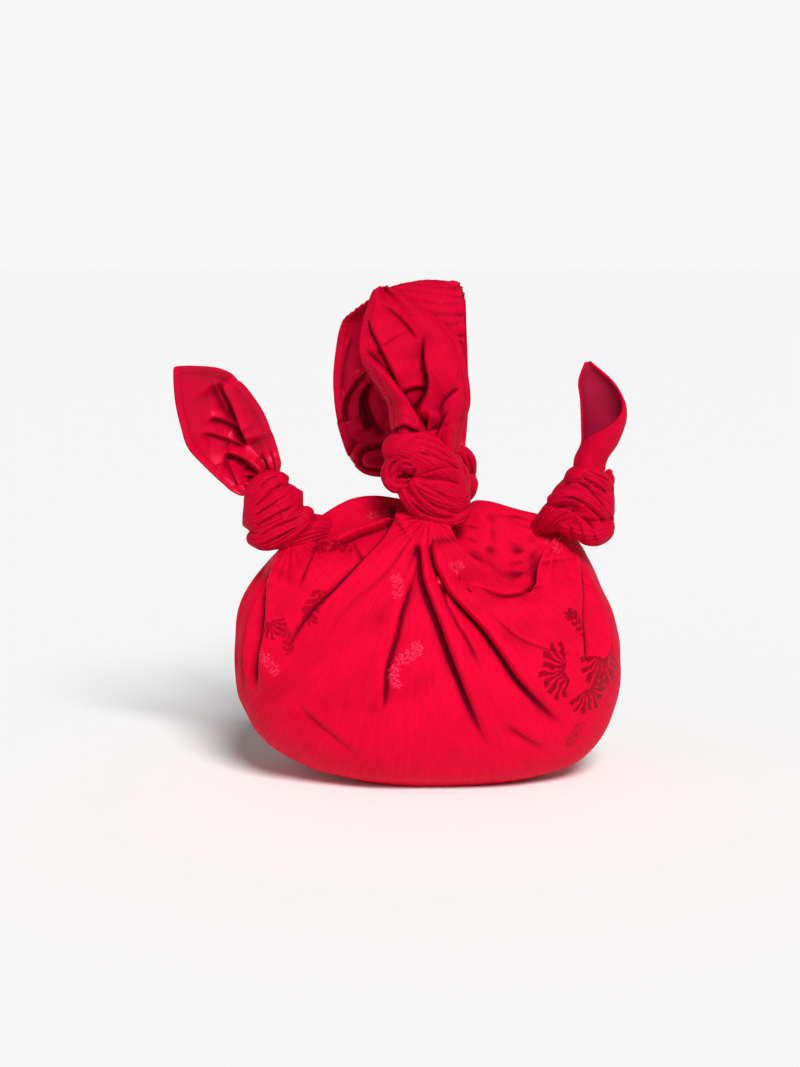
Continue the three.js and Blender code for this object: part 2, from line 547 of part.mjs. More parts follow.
// A tail that stands on a side knot, along the knot's axis and then leaning by its own angle.
function sideTail(knot, point, lean, rise, sideways) {
  const make = (depthOut, depthIn) => {
    const geometry = tailGeometry(point, depthOut, depthIn);
    geometry.rotateY(THREE.MathUtils.degToRad(lean));
    const tilt = THREE.MathUtils.degToRad(knot.lean);
    geometry.translate(
      knot.centre.x + Math.sin(tilt) * rise * knot.height + sideways * knot.width,
      knot.centre.y,
      knot.centre.z + Math.cos(tilt) * rise * knot.height,
    );
    return toSolid(geometry);
  };
  return make;
}

const makeLeftTail = sideTail(leftKnot, leafPoint(leftTailRows, leftTailLength, leftTailWidth), -38, 0.38, 0.06);
const makeRightTail = sideTail(rightKnot, rolledPoint(rightTailRows, rightTailLength, rightTailWidth), 0, 0.48, -0.13);
const handleBase = frontKnot.centre;
const makeFrontTail = (depthOut, depthIn) =>
  toSolid(tailGeometry(frontTailPoint(handleBase), depthOut, depthIn));
const makeRearBand = (depthOut, depthIn) =>
  toSolid(tailGeometry(rearBandPoint(handleBase), depthOut, depthIn));

const tails = {
  left: makeLeftTail(0, tailWall).subtract(grown.left),
  right: makeRightTail(0, tailWall).subtract(grown.right),
  front: makeFrontTail(0, tailWall).subtract(grown.front).subtract(grown.rear),
  rear: makeRearBand(0, tailWall).subtract(grown.rear).subtract(grown.front),
};
tails.rear = tails.rear.subtract(makeFrontTail(-seatGap, tailWall + seatGap));

// A named mesh standing at its own lowest middle point, in the bag's group.
function addPiece(group, name, solid, material) {
  const geometry = toGeometry(biggest(solid));
  geometry.computeBoundingBox();
  const { min, max } = geometry.boundingBox;
  const foot = new THREE.Vector3((min.x + max.x) / 2, (min.y + max.y) / 2, min.z);
  geometry.translate(-foot.x, -foot.y, -foot.z);
  const mesh = new THREE.Mesh(geometry, material);
  mesh.name = name;
  mesh.position.copy(foot);
  group.add(mesh);
}

const bag = new THREE.Group();
const body = new THREE.Group();
const knotGroup = new THREE.Group();
const tailGroup = new THREE.Group();
bag.add(body, knotGroup, tailGroup);
body.add(
  (() => {
    const mesh = new THREE.Mesh(toGeometry(pouch), crepe);
    mesh.name = "pouch";
    return mesh;
  })(),
);
addPiece(knotGroup, "left_knot", knotBodies.left, crepe);
addPiece(knotGroup, "right_knot", knotBodies.right, crepe);
addPiece(knotGroup, "front_knot", knotBodies.front, crepe);
addPiece(knotGroup, "rear_knot", knotBodies.rear, crepe);
addPiece(tailGroup, "left_tail", tails.left, satin);
addPiece(tailGroup, "right_tail", tails.right, crepe);
addPiece(tailGroup, "front_tail", tails.front, crepe);
addPiece(tailGroup, "rear_band", tails.rear, satin);

export default bag;
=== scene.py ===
"""A soft handbag tied from one square of red crepe silk lined with satin."""

import math
import bpy
import numpy as np
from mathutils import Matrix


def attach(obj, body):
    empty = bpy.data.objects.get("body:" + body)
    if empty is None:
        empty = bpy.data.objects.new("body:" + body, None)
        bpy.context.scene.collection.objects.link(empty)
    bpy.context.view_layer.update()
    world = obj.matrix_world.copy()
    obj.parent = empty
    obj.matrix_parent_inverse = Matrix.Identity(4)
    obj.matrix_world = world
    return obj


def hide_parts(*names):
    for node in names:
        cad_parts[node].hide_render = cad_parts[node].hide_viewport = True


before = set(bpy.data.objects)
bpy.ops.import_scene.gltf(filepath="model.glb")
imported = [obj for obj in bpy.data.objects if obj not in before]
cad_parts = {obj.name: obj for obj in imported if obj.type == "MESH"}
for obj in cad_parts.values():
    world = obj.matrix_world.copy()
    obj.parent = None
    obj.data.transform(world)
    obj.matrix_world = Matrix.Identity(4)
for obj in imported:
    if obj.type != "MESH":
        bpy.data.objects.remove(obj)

bl_info = {
    "name": "Knotted Handbag",
    "version": (1, 0, 0),
    "blender": (4, 5, 0),
    "location": "View3D > Sidebar > Handbag",
    "description": "Makes a soft handbag whose corners are knotted and folded into a handle",
    "category": "Add Mesh",
}

MM = 0.001

# Sizes of the CAD model, in millimetres
BAG_WIDTH, BAG_DEPTH, BAG_HEIGHT = 302, 168, 214
HANDLE_RISE, HANDLE_WIDTH, HANDLE_DEPTH, FRONT_TAIL_WIDTH = 147, 100, 78, 84
BASE_CENTRE = (5, 4)
LEFT_TAIL_LENGTH, LEFT_TAIL_WIDTH, LEFT_TAIL_LEAN = 115, 67, -38
RIGHT_TAIL_LENGTH, RIGHT_TAIL_WIDTH = 84, 36
# Columns are the turn round the mouth, height, width and lean in degrees of a knot, then how far its
# middle is up along its lean, to the side and to the back, as shares of its height and width.
KNOT_PLACES = {
    "left": (0, 61, 43, -23, 0.32, -0.09, -0.04),
    "right": (0.5, 66, 47, 27, 0.38, 0.05, -0.04),
    "front": (0.25, 69, 61, 0, 0.35, -0.02, 0.19),
}

# Plan sections of the pouch from the base up: place, rise, left, right, front, back, squareness.
SECTIONS = (
    (0.1, 0, 0.42, 0.58, 0.5, 0.5, 2.1),
    (0.16, 0.065, 0.7, 0.8, 0.74, 0.74, 2.2),
    (0.26, 0.21, 0.925, 0.955, 0.93, 0.93, 2.3),
    (0.4, 0.45, 1, 1, 1, 1, 2.3),
)
# place, lift between the belly and the brow, left, right, front, back, squareness
SHOULDER = (0.56, 0.56, 0.955, 0.93, 0.9, 0.93, 2.2)
BROW_PLACE = 0.76
# The pouch's grid has its columns on the front and back half and its rows on the base, foot and wall,
# with the places where the base and the foot end.
FRONT_COLUMNS, REAR_COLUMNS = 370, 120
BASE_ROWS, FOOT_ROWS, WALL_ROWS = 8, 20, 144
BASE_END, FOOT_END = 0.1, 0.26
# The lining is this far inside the cloth, in mm, and at the free edge it is sewn on at the wall.
LINING_GAP, LIP_WALL = 13, 1.5
# It follows every 8th row of the cloth, and every 3rd of the last 32, which the mouth shows.
LINING_STEP, LIP_STEP, LIP_ROWS = 8, 3, 32

# The free edge once round the mouth, with the brow where the panel turns over. Columns are the turn,
# the edge's x, y, z and the brow's x, y, z, as shares of half the width, half the depth and the height.
MOUTH = (
    (0, -0.69, 0, 0.885, -0.8, 0, 0.8),
    (0.07, -0.66, -0.1, 0.88, -0.78, -0.26, 0.79),
    (0.12, -0.56, -0.17, 0.875, -0.65, -0.5, 0.79),
    (0.166, -0.38, -0.22, 0.915, -0.44, -0.62, 0.82),
    (0.204, -0.2, -0.26, 0.96, -0.24, -0.65, 0.86),
    (0.228, -0.09, -0.33, 0.985, -0.12, -0.63, 0.87),
    (0.25, 0.01, -0.4, 1.0, 0, -0.66, 0.87),
    (0.272, 0.1, -0.42, 0.96, 0.08, -0.72, 0.82),
    (0.288, 0.165, -0.48, 0.872, 0.15, -0.78, 0.755),
    (0.304, 0.235, -0.5, 0.825, 0.24, -0.8, 0.715),
    (0.328, 0.34, -0.52, 0.78, 0.36, -0.79, 0.685),
    (0.361, 0.48, -0.6, 0.715, 0.53, -0.74, 0.655),
    (0.387, 0.535, -0.54, 0.73, 0.64, -0.63, 0.655),
    (0.412, 0.555, -0.41, 0.785, 0.73, -0.47, 0.69),
    (0.445, 0.6, -0.2, 0.85, 0.8, -0.26, 0.75),
    (0.5, 0.68, 0, 0.88, 0.81, 0, 0.8),
    (0.552, 0.67, -0.05, 0.85, 0.77, 0.22, 0.86),
    (0.583, 0.62, -0.2, 0.78, 0.66, 0.23, 0.92),
    (0.612, 0.54, -0.32, 0.69, 0.56, 0.22, 0.955),
    (0.634, 0.47, -0.38, 0.68, 0.48, 0.22, 0.97),
    (0.654, 0.36, -0.36, 0.73, 0.39, 0.24, 0.985),
    (0.68, 0.23, -0.36, 0.765, 0.28, 0.32, 1),
    (0.702, 0.14, -0.36, 0.82, 0.235, 0.42, 0.985),
    (0.724, 0.07, -0.2, 0.88, 0.19, 0.54, 0.95),
    (0.75, 0.03, 0.3, 0.95, 0.09, 0.63, 0.925),
    (0.772, 0.01, 0.24, 0.96, -0.03, 0.54, 0.955),
    (0.794, -0.085, -0.02, 0.95, -0.15, 0.41, 0.99),
    (0.822, -0.21, -0.095, 0.945, -0.28, 0.31, 1.005),
    (0.855, -0.385, -0.07, 0.905, -0.41, 0.26, 0.995),
    (0.893, -0.545, -0.035, 0.862, -0.56, 0.2, 0.94),
    (0.94, -0.65, 0.06, 0.88, -0.72, 0.18, 0.86),
)

# The photo's camera: it looks 8 degrees down, from 1.608 m, at a point above the base that has the
# height AIM_RISE in the photo's plane. Its lens and sensor are in mm.
TILT = math.radians(8)
DISTANCE = 1608.0
AIM = (-21.0, 0.0, 190.6)
AIM_RISE = 188.7
LENS, SENSOR = 70.0, 36

# Creases of the pouch as the camera sees them, with the front face towards it. u and v are mm to the
# right and up in the plane through the middle of the bag. The cloth on one side of a crease, to the
# right of a line drawn downwards or above one drawn to the right, stands proud by rise and fades out
# over its width, and the other side dips by dip. lap pulls the proud side over the other one.
FRONT_CREASES = (
    # name, rise, rise width, dip, dip width, lap, fade in, fade out, line
    ("strip edge", 6.1, 9, 7, 5.6, 1.0, 0.06, 0.42,
     ((-5.4, 182.9), (-3.9, 169), (-2.3, 154.2), (2.3, 140.3), (10.1, 120.1), (17.8, 99.2), (25.6, 79),
      (31.8, 62.8), (50.4, 19.4))),
    ("right panel edge", 6.8, 13, 7.2, 4.6, 1.1, 0.05, 0.42,
     ((3.9, 182.9), (6.2, 166.6), (11.6, 154.2), (18.6, 141.8), (27.9, 131.8), (44.2, 114.7), (57.4, 96.9),
      (72.1, 75.2), (89.1, 57.4), (110.8, 37.2))),
    ("strip ridge", 2.9, 3, 1.1, 4, 0.0, 0.2, 0.3,
     ((10.1, 171.3), (15.5, 138.7), (23.2, 121.7), (34.9, 102.3), (45.7, 78.3))),
    ("soft ridge", 3.4, 11, 2.9, 7, 0.4, 0.15, 0.35,
     ((-34.9, 50.4), (-34.1, 67.4), (-33.3, 82.2), (-29.4, 96.9), (-25.6, 108.5), (-20.9, 129.4),
      (-15.5, 144.9), (-7.8, 168.2))),
    ("left drape", 5.0, 12, 6.5, 6, 1.8, 0.05, 0.35,
     ((-21.7, 212.3), (-24.8, 202.3), (-32.6, 187.6), (-48.1, 169.7), (-69.8, 144.9), (-88.4, 126.3),
      (-101.5, 108.5), (-109.3, 90.7))),
    ("free edge roll", 4.7, 8, 6.5, 7, 2.1, 0.35, 0.04,
     ((-84.5, 173.6), (-67.4, 182.9), (-51.1, 189.9), (-35.6, 196.1), (-24, 203.8))),
    ("left light crease", 0.9, 3, 2.3, 2.6, 0.0, 0.15, 0.3,
     ((-82.9, 186.8), (-86.8, 174.4), (-91.5, 163.5), (-98.4, 144.9))),
    ("left hand crease", 0.5, 3, 1.8, 3, 0.0, 0.3, 0.3,
     ((-58.1, 186.8), (-53.5, 177.5), (-48.1, 168.2))),
    ("front panel side", 6.5, 9, 12, 9, 1.6, 0.12, 0.3,
     ((-117, 162.8), (-121.7, 155), (-124, 148.8), (-125.5, 131), (-126.3, 118.6), (-127.1, 107.7),
      (-129.4, 98.4), (-131, 81.4), (-131.8, 59.7))),
    ("second side fold", 4.3, 5, 5.8, 4, 1.5, 0.12, 0.3,
     ((-114.7, 171.3), (-123.2, 156.6), (-129.4, 148.8), (-134.8, 138.7), (-140.3, 124.8), (-142.6, 110.8),
      (-144.2, 96.9), (-141.8, 75.2), (-137.2, 55.8))),
    ("right corner edge", 3, 12, 3.6, 6, 1.5, 0.15, 0.3,
     ((121.7, 87.6), (120.9, 106.2), (120.1, 124.8), (119.4, 144.9), (118.6, 164.3), (116.2, 176.7))),
    ("right corner crease", 0.5, 4, 1.0, 2.6, 0.0, 0.45, 0.45,
     ((79.8, 165.8), (91.5, 167.4), (103.1, 169.7), (115.5, 169.7))),
    ("right outer fold", 2.9, 7, 4.0, 5, 0.9, 0.2, 0.35,
     ((140.3, 84.5), (142.6, 106.2), (138.7, 127.9), (132.5, 144.9), (124.8, 163.5))),
    ("hem of the front panel", 1.0, 5, 0.6, 3, 0.0, 0.4, 0.4,
     ((62, 148), (51.9, 158.9), (43.4, 165.1), (33.3, 169.7), (24.8, 177.5), (20.2, 186.8))),
    ("rear panel crease", 1.2, 8, 0.9, 4, 0.0, 0.5, 0.45,
     ((51.9, 158.9), (45.7, 173.6), (47.3, 182.9), (48.1, 194.5), (43.4, 204.6), (33.3, 210))),
    ("rear panel hem", 1.3, 4, 0.9, 2, 0.3, 0.2, 0.2,
     ((41.1, 203.8), (56.6, 204.6), (72.1, 203.1), (91.5, 194.5))),
    ("right lip roll", 3.6, 10, 2.4, 8, 0.2, 0.5, 0.25,
     ((27.1, 148.8), (39.5, 148), (56.6, 141.1), (70.5, 141.8), (82.2, 146.5), (93.8, 150.3))),
    ("upper pit fold", 1.2, 4, 1.7, 3.6, 0.0, 0.35, 0.6,
     ((78.3, 174.4), (69.8, 172.1), (60.5, 167.4))),
    ("middle pit fold", 1.2, 4, 1.9, 3.6, 0.0, 0.35, 0.6,
     ((79, 166.6), (69, 163.5), (58.9, 160.4))),
    ("lower pit fold", 1.2, 4, 1.7, 3.6, 0.0, 0.35, 0.6,
     ((78.3, 158.9), (69.8, 155), (61.2, 152.7))),
    ("right drape", 1.2, 12, 1.0, 9, 0.1, 0.35, 0.45,
     ((44.2, 134.1), (65.9, 112.4), (91.5, 100), (126.3, 94.5))),
    ("low left pull", 1.1, 14, 1.0, 9, 0.2, 0.35, 0.4,
     ((-104.6, 67.4), (-90.7, 48.8), (-64.3, 27.1), (-42.6, 13.2))),
    ("low right pull", 1.1, 12, 1.0, 8, 0.2, 0.35, 0.4,
     ((56.6, 47.3), (79.8, 30.2), (103.1, 22.5))),
)
# Creases of the back as seen from behind, in the same columns.
REAR_CREASES = (
    ("rear left pleat", 3.1, 12, 2.9, 11, 0.1, 0.05, 0.5,
     ((-14, 203), (-20, 186), (-33, 160), (-52, 128), (-76, 92), (-92, 60))),
    ("rear middle pleat", 2.9, 11, 2.7, 11, 0.1, 0.05, 0.5,
     ((-4, 200), (-3, 180), (-6, 150), (-14, 112), (-20, 70))),
    ("rear right pleat", 2.8, 12, 2.6, 11, 0.1, 0.5, 0.05,
     ((66, 66), (52, 104), (34, 142), (16, 176), (8, 202))),
    ("rear left drape", 2.5, 14, 2.4, 12, 0.1, 0.1, 0.35,
     ((-34, 196), (-64, 182), (-94, 150), (-116, 106))),
    ("rear right drape", 2.5, 14, 2.4, 12, 0.1, 0.35, 0.1,
     ((120, 96), (100, 138), (70, 172), (32, 194))),
    ("rear left corner", 2.4, 11, 2.4, 10, 0.1, 0.1, 0.35,
     ((-100, 176), (-112, 150), (-122, 112), (-126, 70))),
    ("rear right corner", 2.4, 11, 2.4, 10, 0.1, 0.35, 0.1,
     ((128, 72), (124, 114), (112, 150), (98, 178))),
)
# Where gathers fan out from, as seen from the front or the back: u, v, how many to a full turn, how
# far they reach and how deep they are, in mm. The crepe's threads run out from the drape centres.
# At THREAD_RADIUS from there they have their true pitch.
DRAPE_CENTRES = ((False, (4, 232)), (True, (-14, 236)))
THREAD_RADIUS = 110
FRONT_GATHERS = (
    (2, 200, 36, 26, 2.6), (2, 204, 17, 85, 1.5), (-104, 186, 28, 20, 1.9), (-104, 190, 13, 50, 1.2),
    (101, 188, 28, 20, 1.9), (104, 192, 13, 50, 1.3),
)
REAR_GATHERS = (
    (-14, 200, 36, 30, 2.6), (-14, 204, 17, 90, 1.6), (-104, 186, 28, 20, 1.9), (101, 186, 28, 20, 1.9),
)

# Woven motifs on the pouch, as seen from the front or from behind. Those of one layer don't touch.
# Columns are the layer, the kind (1 a fan of pine needles, 2 a sprig of leaves and blossom), the tone
# (below 0 darker than the ground, above 0 lighter), u, v, the size and the turn in degrees.
MOTIF_LAYERS = ("a", "b", "c")
FRONT_MOTIFS = (
    ("a", 1, -1.0, 108.5, 82.2, 25, 95),
    ("c", 2, -1.0, 116.2, 120.1, 13, 60),
    ("b", 1, -1.0, 136.4, 93, 27, 186),
    ("c", 1, -1.0, 125.5, 69.8, 23, 208),
    ("b", 2, -0.5, 115.5, 33.3, 13, 160),
    ("a", 2, 1.0, -13.2, 93.8, 13, -35),
    ("b", 2, 1.0, -25.6, 79.8, 11, 200),
    ("a", 2, 0.8, -23.2, 146.5, 11, 20),
    ("c", 2, 0.8, 22.5, 163.5, 10, -40),
    ("b", 2, 0.7, 100, 181.3, 11, 30),
    ("c", 2, 0.9, -39.5, 203.8, 11, -60),
    ("a", 2, -0.8, -72.1, 177.5, 16, 100),
    ("b", 2, -0.7, -87.6, 134.1, 16, 170),
    ("c", 2, -0.6, -107.7, 104.6, 12, 30),
    ("a", 1, -0.9, -121.7, 120.1, 15, 190),
    ("b", 2, 0.8, -121.7, 87.6, 12, 60),
)
REAR_MOTIFS = (
    ("a", 1, -1.0, -70, 96, 20, 40),
    ("b", 1, -0.9, -46, 112, 17, -40),
    ("a", 2, 0.9, 22, 120, 18, 20),
    ("b", 2, 0.8, 38, 96, 15, 200),
    ("a", 2, -0.7, 96, 118, 17, -60),
    ("c", 1, -0.8, 84, 60, 17, 120),
    ("b", 2, 0.8, -104, 140, 15, 30),
    ("c", 2, 0.7, -20, 62, 15, 150),
    ("c", 2, -0.6, 4, 168, 13, 10),
)

# Knots as bundles of pleated strands. A strand's line gives u, v, the depth y, and half its width
# and half its thickness, in mm. ribs run along it and are about ridge mm high.
LEFT_KNOT = (
    # name, ribs, ridge, line
    ("body", 11, 1.3,
     ((-139.5, 196.8, -2, 7, 10), (-132.5, 200, -3, 19, 17), (-121.7, 206.2, -3, 25, 20),
      (-110.8, 213.1, -3, 23, 19), (-100, 219.3, -2, 8, 9))),
    ("top collar", 9, 1.8,
     ((-138, 212.3, -3, 5, 8), (-131, 219.3, -4, 11, 14), (-121.7, 226.3, -4, 12, 15),
      (-112.4, 230.2, -3, 8, 10), (-108.5, 231.7, -2, 3, 5))),
    ("lower wrap", 9, 1.8,
     ((-137.2, 185.2, -3, 5, 8), (-127.9, 185.2, -6, 10, 14), (-113.9, 190.7, -8, 13, 16),
      (-99.2, 199.2, -6, 13, 14), (-90.7, 206.2, -2, 5, 7))),
    ("root", 9, 2.3,
     ((-127.9, 179.8, -4, 3, 6), (-113.9, 183.7, -6, 8, 11), (-100, 189.1, -5, 12, 12),
      (-86, 192.2, 0, 12, 9), (-73.6, 192.2, 8, 8, 5), (-64.3, 191.4, 15, 3, 2))),
)
RIGHT_KNOT = (
    ("body", 7, 1.3,
     ((97.7, 210, 0, 5, 9), (106.2, 214.7, -2, 14, 15), (118.6, 214.7, -3, 27, 20),
      (131.8, 208.5, -3, 22, 18), (141.1, 203.1, -1, 7, 9))),
    ("top wrap", 5, 2.3,
     ((108.5, 227.1, -2, 5, 7), (116.2, 231, -5, 10, 14), (127.9, 230.2, -6, 11, 16),
      (137.2, 224.8, -4, 8, 12), (141.8, 219.3, -2, 3, 5))),
    ("middle wrap", 5, 2.3,
     ((96.1, 213.1, -4, 5, 8), (107.7, 217, -9, 8, 14), (121.7, 213.9, -10, 9, 16),
      (134.1, 206.2, -7, 9, 13), (141.1, 198.4, -3, 4, 6))),
    ("lower loop", 9, 2.1,
     ((113.2, 192.2, -9, 5, 9), (120.1, 190.7, -12, 9, 12), (127.9, 189.9, -12, 11, 13),
      (135.6, 192.2, -9, 10, 11), (141.1, 196.8, -5, 5, 7))),
    ("neck", 5, 1.6,
     ((100, 197.6, -7, 5, 8), (109.3, 195.3, -9, 9, 11), (118.6, 193, -9, 10, 12),
      (127.9, 194.5, -8, 6, 8))),
    ("ear", 3, 2.6,
     ((134.1, 220.9, -3, 3, 5), (138.7, 227.1, -3, 6, 7), (140.3, 232.5, -2, 5, 6),
      (141.1, 237.9, -1, 2, 3))),
    ("root", 7, 2.6,
     ((127.9, 210, -6, 10, 11), (113.9, 206.9, -7, 17, 14), (101.5, 203.8, -6, 13, 12),
      (93.8, 198.4, -2, 10, 9), (86.8, 193.8, 4, 7, 6), (79.8, 189.9, 12, 3, 3))),
)
FRONT_KNOT = (
    ("core", 0, 0,
     ((-17.8, 237.9, -18, 8, 10), (-7, 234.8, -20, 22, 16), (5.4, 230.2, -20, 26, 18),
      (16.3, 225.5, -18, 18, 15), (24.8, 220.9, -16, 7, 8))),
    ("upper band", 13, 0.9,
     ((-27.9, 253.4, -22, 10, 12), (-17.8, 254.2, -29, 15, 14), (-2.3, 248.8, -32, 18, 14),
      (11.6, 238.7, -30, 15, 13), (22.5, 225.5, -24, 9, 11), (26.4, 214.7, -18, 5, 7))),
    ("fan", 15, 1.4,
     ((-14.7, 231, -33, 2, 4), (-8.5, 227.1, -34, 9, 9), (2.3, 222.4, -33, 18, 13),
      (14, 217.8, -30, 21, 13), (23.2, 214.7, -24, 17, 10), (28.7, 213.1, -18, 8, 6))),
    ("whorl", 5, 3.1,
     ((-7.8, 242.6, -40, 2, 3), (-15.5, 244.9, -38, 6, 7), (-24, 242.6, -33, 8, 9),
      (-27.9, 234.8, -31, 8, 9), (-24, 227.1, -33, 7, 8), (-15.5, 227.8, -36, 3, 4))),
    ("lower roll", 5, 2.6,
     ((-20.9, 227.1, -30, 3, 5), (-15.5, 217, -33, 6, 8), (-4.7, 207.7, -33, 8, 9),
      (10.1, 202.3, -31, 8, 9), (23.2, 202.3, -27, 7, 8), (31.8, 208.5, -20, 4, 6))),
    ("right turn", 5, 2.6,
     ((14.7, 248.8, -26, 3, 5), (20.9, 244.9, -24, 5, 8), (26.4, 237.2, -20, 5, 8),
      (28.7, 224.8, -17, 5, 8), (27.9, 213.1, -15, 4, 6))),
)
REAR_KNOT = (
    ("core", 7, 1.3,
     ((-1.6, 214.7, 30, 8, 8), (3.1, 222.4, 32, 16, 13), (8.5, 233.3, 34, 19, 15),
      (14.7, 243.3, 34, 15, 12), (19.4, 251.1, 32, 6, 7))),
    ("band", 9, 1.6,
     ((-2.3, 231.7, 36, 5, 6), (5.4, 234.8, 42, 12, 8), (16.3, 234.8, 43, 14, 8), (27.1, 231.7, 36, 12, 9),
      (33.3, 227.1, 27, 6, 7))),
    ("coil", 5, 3.1,
     ((10.8, 243.3, 14, 4, 5), (17.8, 249.6, 15, 6, 7), (26.4, 251.1, 17, 6, 7), (31.8, 244.9, 20, 6, 7),
      (33.3, 235.6, 24, 5, 6))),
    ("lower coil", 5, 3.1,
     ((24, 233.3, 16, 4, 6), (31, 230.2, 19, 7, 8), (32.6, 221.7, 21, 6, 8), (27.1, 215.5, 22, 5, 6))),
    ("root", 7, 1.8,
     ((11.6, 228.6, 34, 15, 12), (9.3, 216.2, 35, 15, 12), (7, 205.4, 34, 13, 11), (5.4, 196.1, 31, 9, 8),
      (4.7, 188.3, 27, 4, 4))),
)
# Creases pressed into the knots, in the columns of the pouch's creases.
LEFT_KNOT_CREASES = (
    ("collar", 0.8, 3.4, 1.6, 1.7, 0.3, 0.15, 0.25,
     ((-131.8, 223.2), (-124.8, 230.2), (-117.8, 233.3), (-111.6, 233.3))),
    ("first wrap", 1.0, 3.4, 2.2, 1.7, 0.3, 0.15, 0.25,
     ((-134.8, 209.2), (-127.9, 216.2), (-121.7, 221.7), (-110.8, 229.4))),
    ("second wrap", 1.0, 3.4, 2.0, 1.7, 0.3, 0.15, 0.25,
     ((-135.6, 201.5), (-127.1, 207.7), (-120.1, 212.3), (-105.4, 221.7))),
    ("third wrap", 1.1, 3.4, 2.4, 1.7, 0.3, 0.15, 0.25,
     ((-134.8, 193.8), (-124.8, 200), (-116.2, 204.6), (-100.8, 212.3))),
    ("fourth wrap", 1.0, 3.4, 2.2, 1.7, 0.3, 0.15, 0.25,
     ((-131.8, 186.8), (-122.5, 192.2), (-114.7, 196.1), (-96.9, 203.1))),
    ("low wrap", 1.0, 3.4, 2.0, 1.7, 0.3, 0.15, 0.25,
     ((-127.1, 181.3), (-119.4, 185.2), (-112.4, 188.3), (-98.4, 195.3))),
    ("cross fold", 0.4, 3.4, 0.7, 1.7, 0.3, 0.3, 0.3,
     ((-117.8, 214.7), (-113.9, 207.7), (-112.4, 200.7), (-113.2, 193))),
)
RIGHT_KNOT_CREASES = (
    ("ear fold", 0.8, 3.4, 1.8, 1.7, 0.3, 0.15, 0.25,
     ((141.8, 227.8), (133.3, 233.3), (127.1, 236.4), (120.9, 237.9))),
    ("upper wrap", 1.0, 3.4, 2.2, 1.7, 0.3, 0.15, 0.25,
     ((140.3, 217.8), (134.1, 222.4), (127.1, 226.3), (115.5, 235.6))),
    ("wide wrap", 1.2, 3.4, 2.8, 1.7, 0.3, 0.15, 0.25,
     ((140.3, 203.1), (134.8, 211.6), (129.4, 217.8), (117, 227.1), (100.8, 224))),
    ("middle fold", 1.1, 3.4, 2.4, 1.7, 0.3, 0.15, 0.25,
     ((138, 193.8), (132.5, 200.7), (127.1, 206.2), (111.6, 215.5), (95.3, 212.3))),
    ("low fold", 1.0, 3.4, 2.2, 1.7, 0.3, 0.15, 0.25,
     ((131.8, 187.6), (127.1, 193.8), (120.9, 199.2), (105.4, 208.5), (91.5, 205.4))),
    ("loop fold", 0.6, 3.4, 1.4, 1.7, 0.3, 0.15, 0.25,
     ((112.4, 194.5), (112.4, 189.9), (113.9, 182.9))),
    ("loop's middle", 0.6, 3.4, 1.5, 1.7, 0.3, 0.15, 0.25,
     ((118.6, 196.1), (120.9, 188.3), (123.2, 179.8))),
    ("loop's side", 0.6, 3.4, 1.4, 1.7, 0.3, 0.15, 0.25,
     ((127.9, 193), (130.2, 188.3), (131.8, 182.1))),
)
FRONT_KNOT_CREASES = (
    ("whorl's throat", 1.0, 3.4, 3.0, 1.7, 0.3, 0.15, 0.25,
     ((-7.8, 239.5), (-10.1, 234.1), (-14, 228.6), (-19.4, 224))),
    ("whorl, outer", 0.9, 3.4, 2.0, 1.7, 0.3, 0.15, 0.25,
     ((-10.1, 244.1), (-18.6, 246.5), (-25.6, 242.6), (-28.7, 234.8), (-25.6, 227.1))),
    ("whorl, inner", 0.8, 3.4, 2.0, 1.7, 0.3, 0.15, 0.25,
     ((-10.8, 239.5), (-17.8, 241), (-21.7, 236.4), (-20.2, 230.2))),
    ("upper fan", 1.0, 3.4, 2.0, 1.7, 0.3, 0.15, 0.25,
     ((27.1, 237.9), (17.8, 239.5), (8.5, 237.9), (-7.8, 232.5))),
    ("middle fan", 0.9, 3.4, 1.8, 1.7, 0.3, 0.15, 0.25,
     ((27.1, 225.5), (17.8, 228.6), (7, 230.2), (-8.5, 230.2))),
    ("lower fan", 1.0, 3.4, 2.2, 1.7, 0.3, 0.15, 0.25,
     ((25.6, 210.8), (16.3, 214.7), (5.4, 221.7), (-10.1, 228.6))),
    ("fan's bottom", 1.0, 3.4, 2.6, 1.7, 0.3, 0.15, 0.25,
     ((27.1, 203.1), (14.7, 205.4), (0.8, 212.3), (-13.2, 227.1))),
    ("roll", 1.0, 3.4, 2.4, 1.7, 0.3, 0.15, 0.25,
     ((25.6, 198.4), (10.1, 200), (-5.4, 205.4), (-17.8, 219.3))),
    ("band's ridge", 0.8, 3.4, 1.6, 1.7, 0.3, 0.15, 0.25,
     ((22.5, 244.1), (13.2, 249.6), (2.3, 255), (-11.6, 260.4))),
    ("band's lower ridge", 0.8, 3.4, 1.8, 1.7, 0.3, 0.15, 0.25,
     ((28.7, 234.8), (16.3, 242.6), (3.9, 248), (-10.1, 251.1))),
    ("band's top", 0.6, 3.4, 1.4, 1.7, 0.3, 0.15, 0.25,
     ((16.3, 254.2), (7, 258.9), (-2.3, 261.9), (-14.7, 264.3))),
)

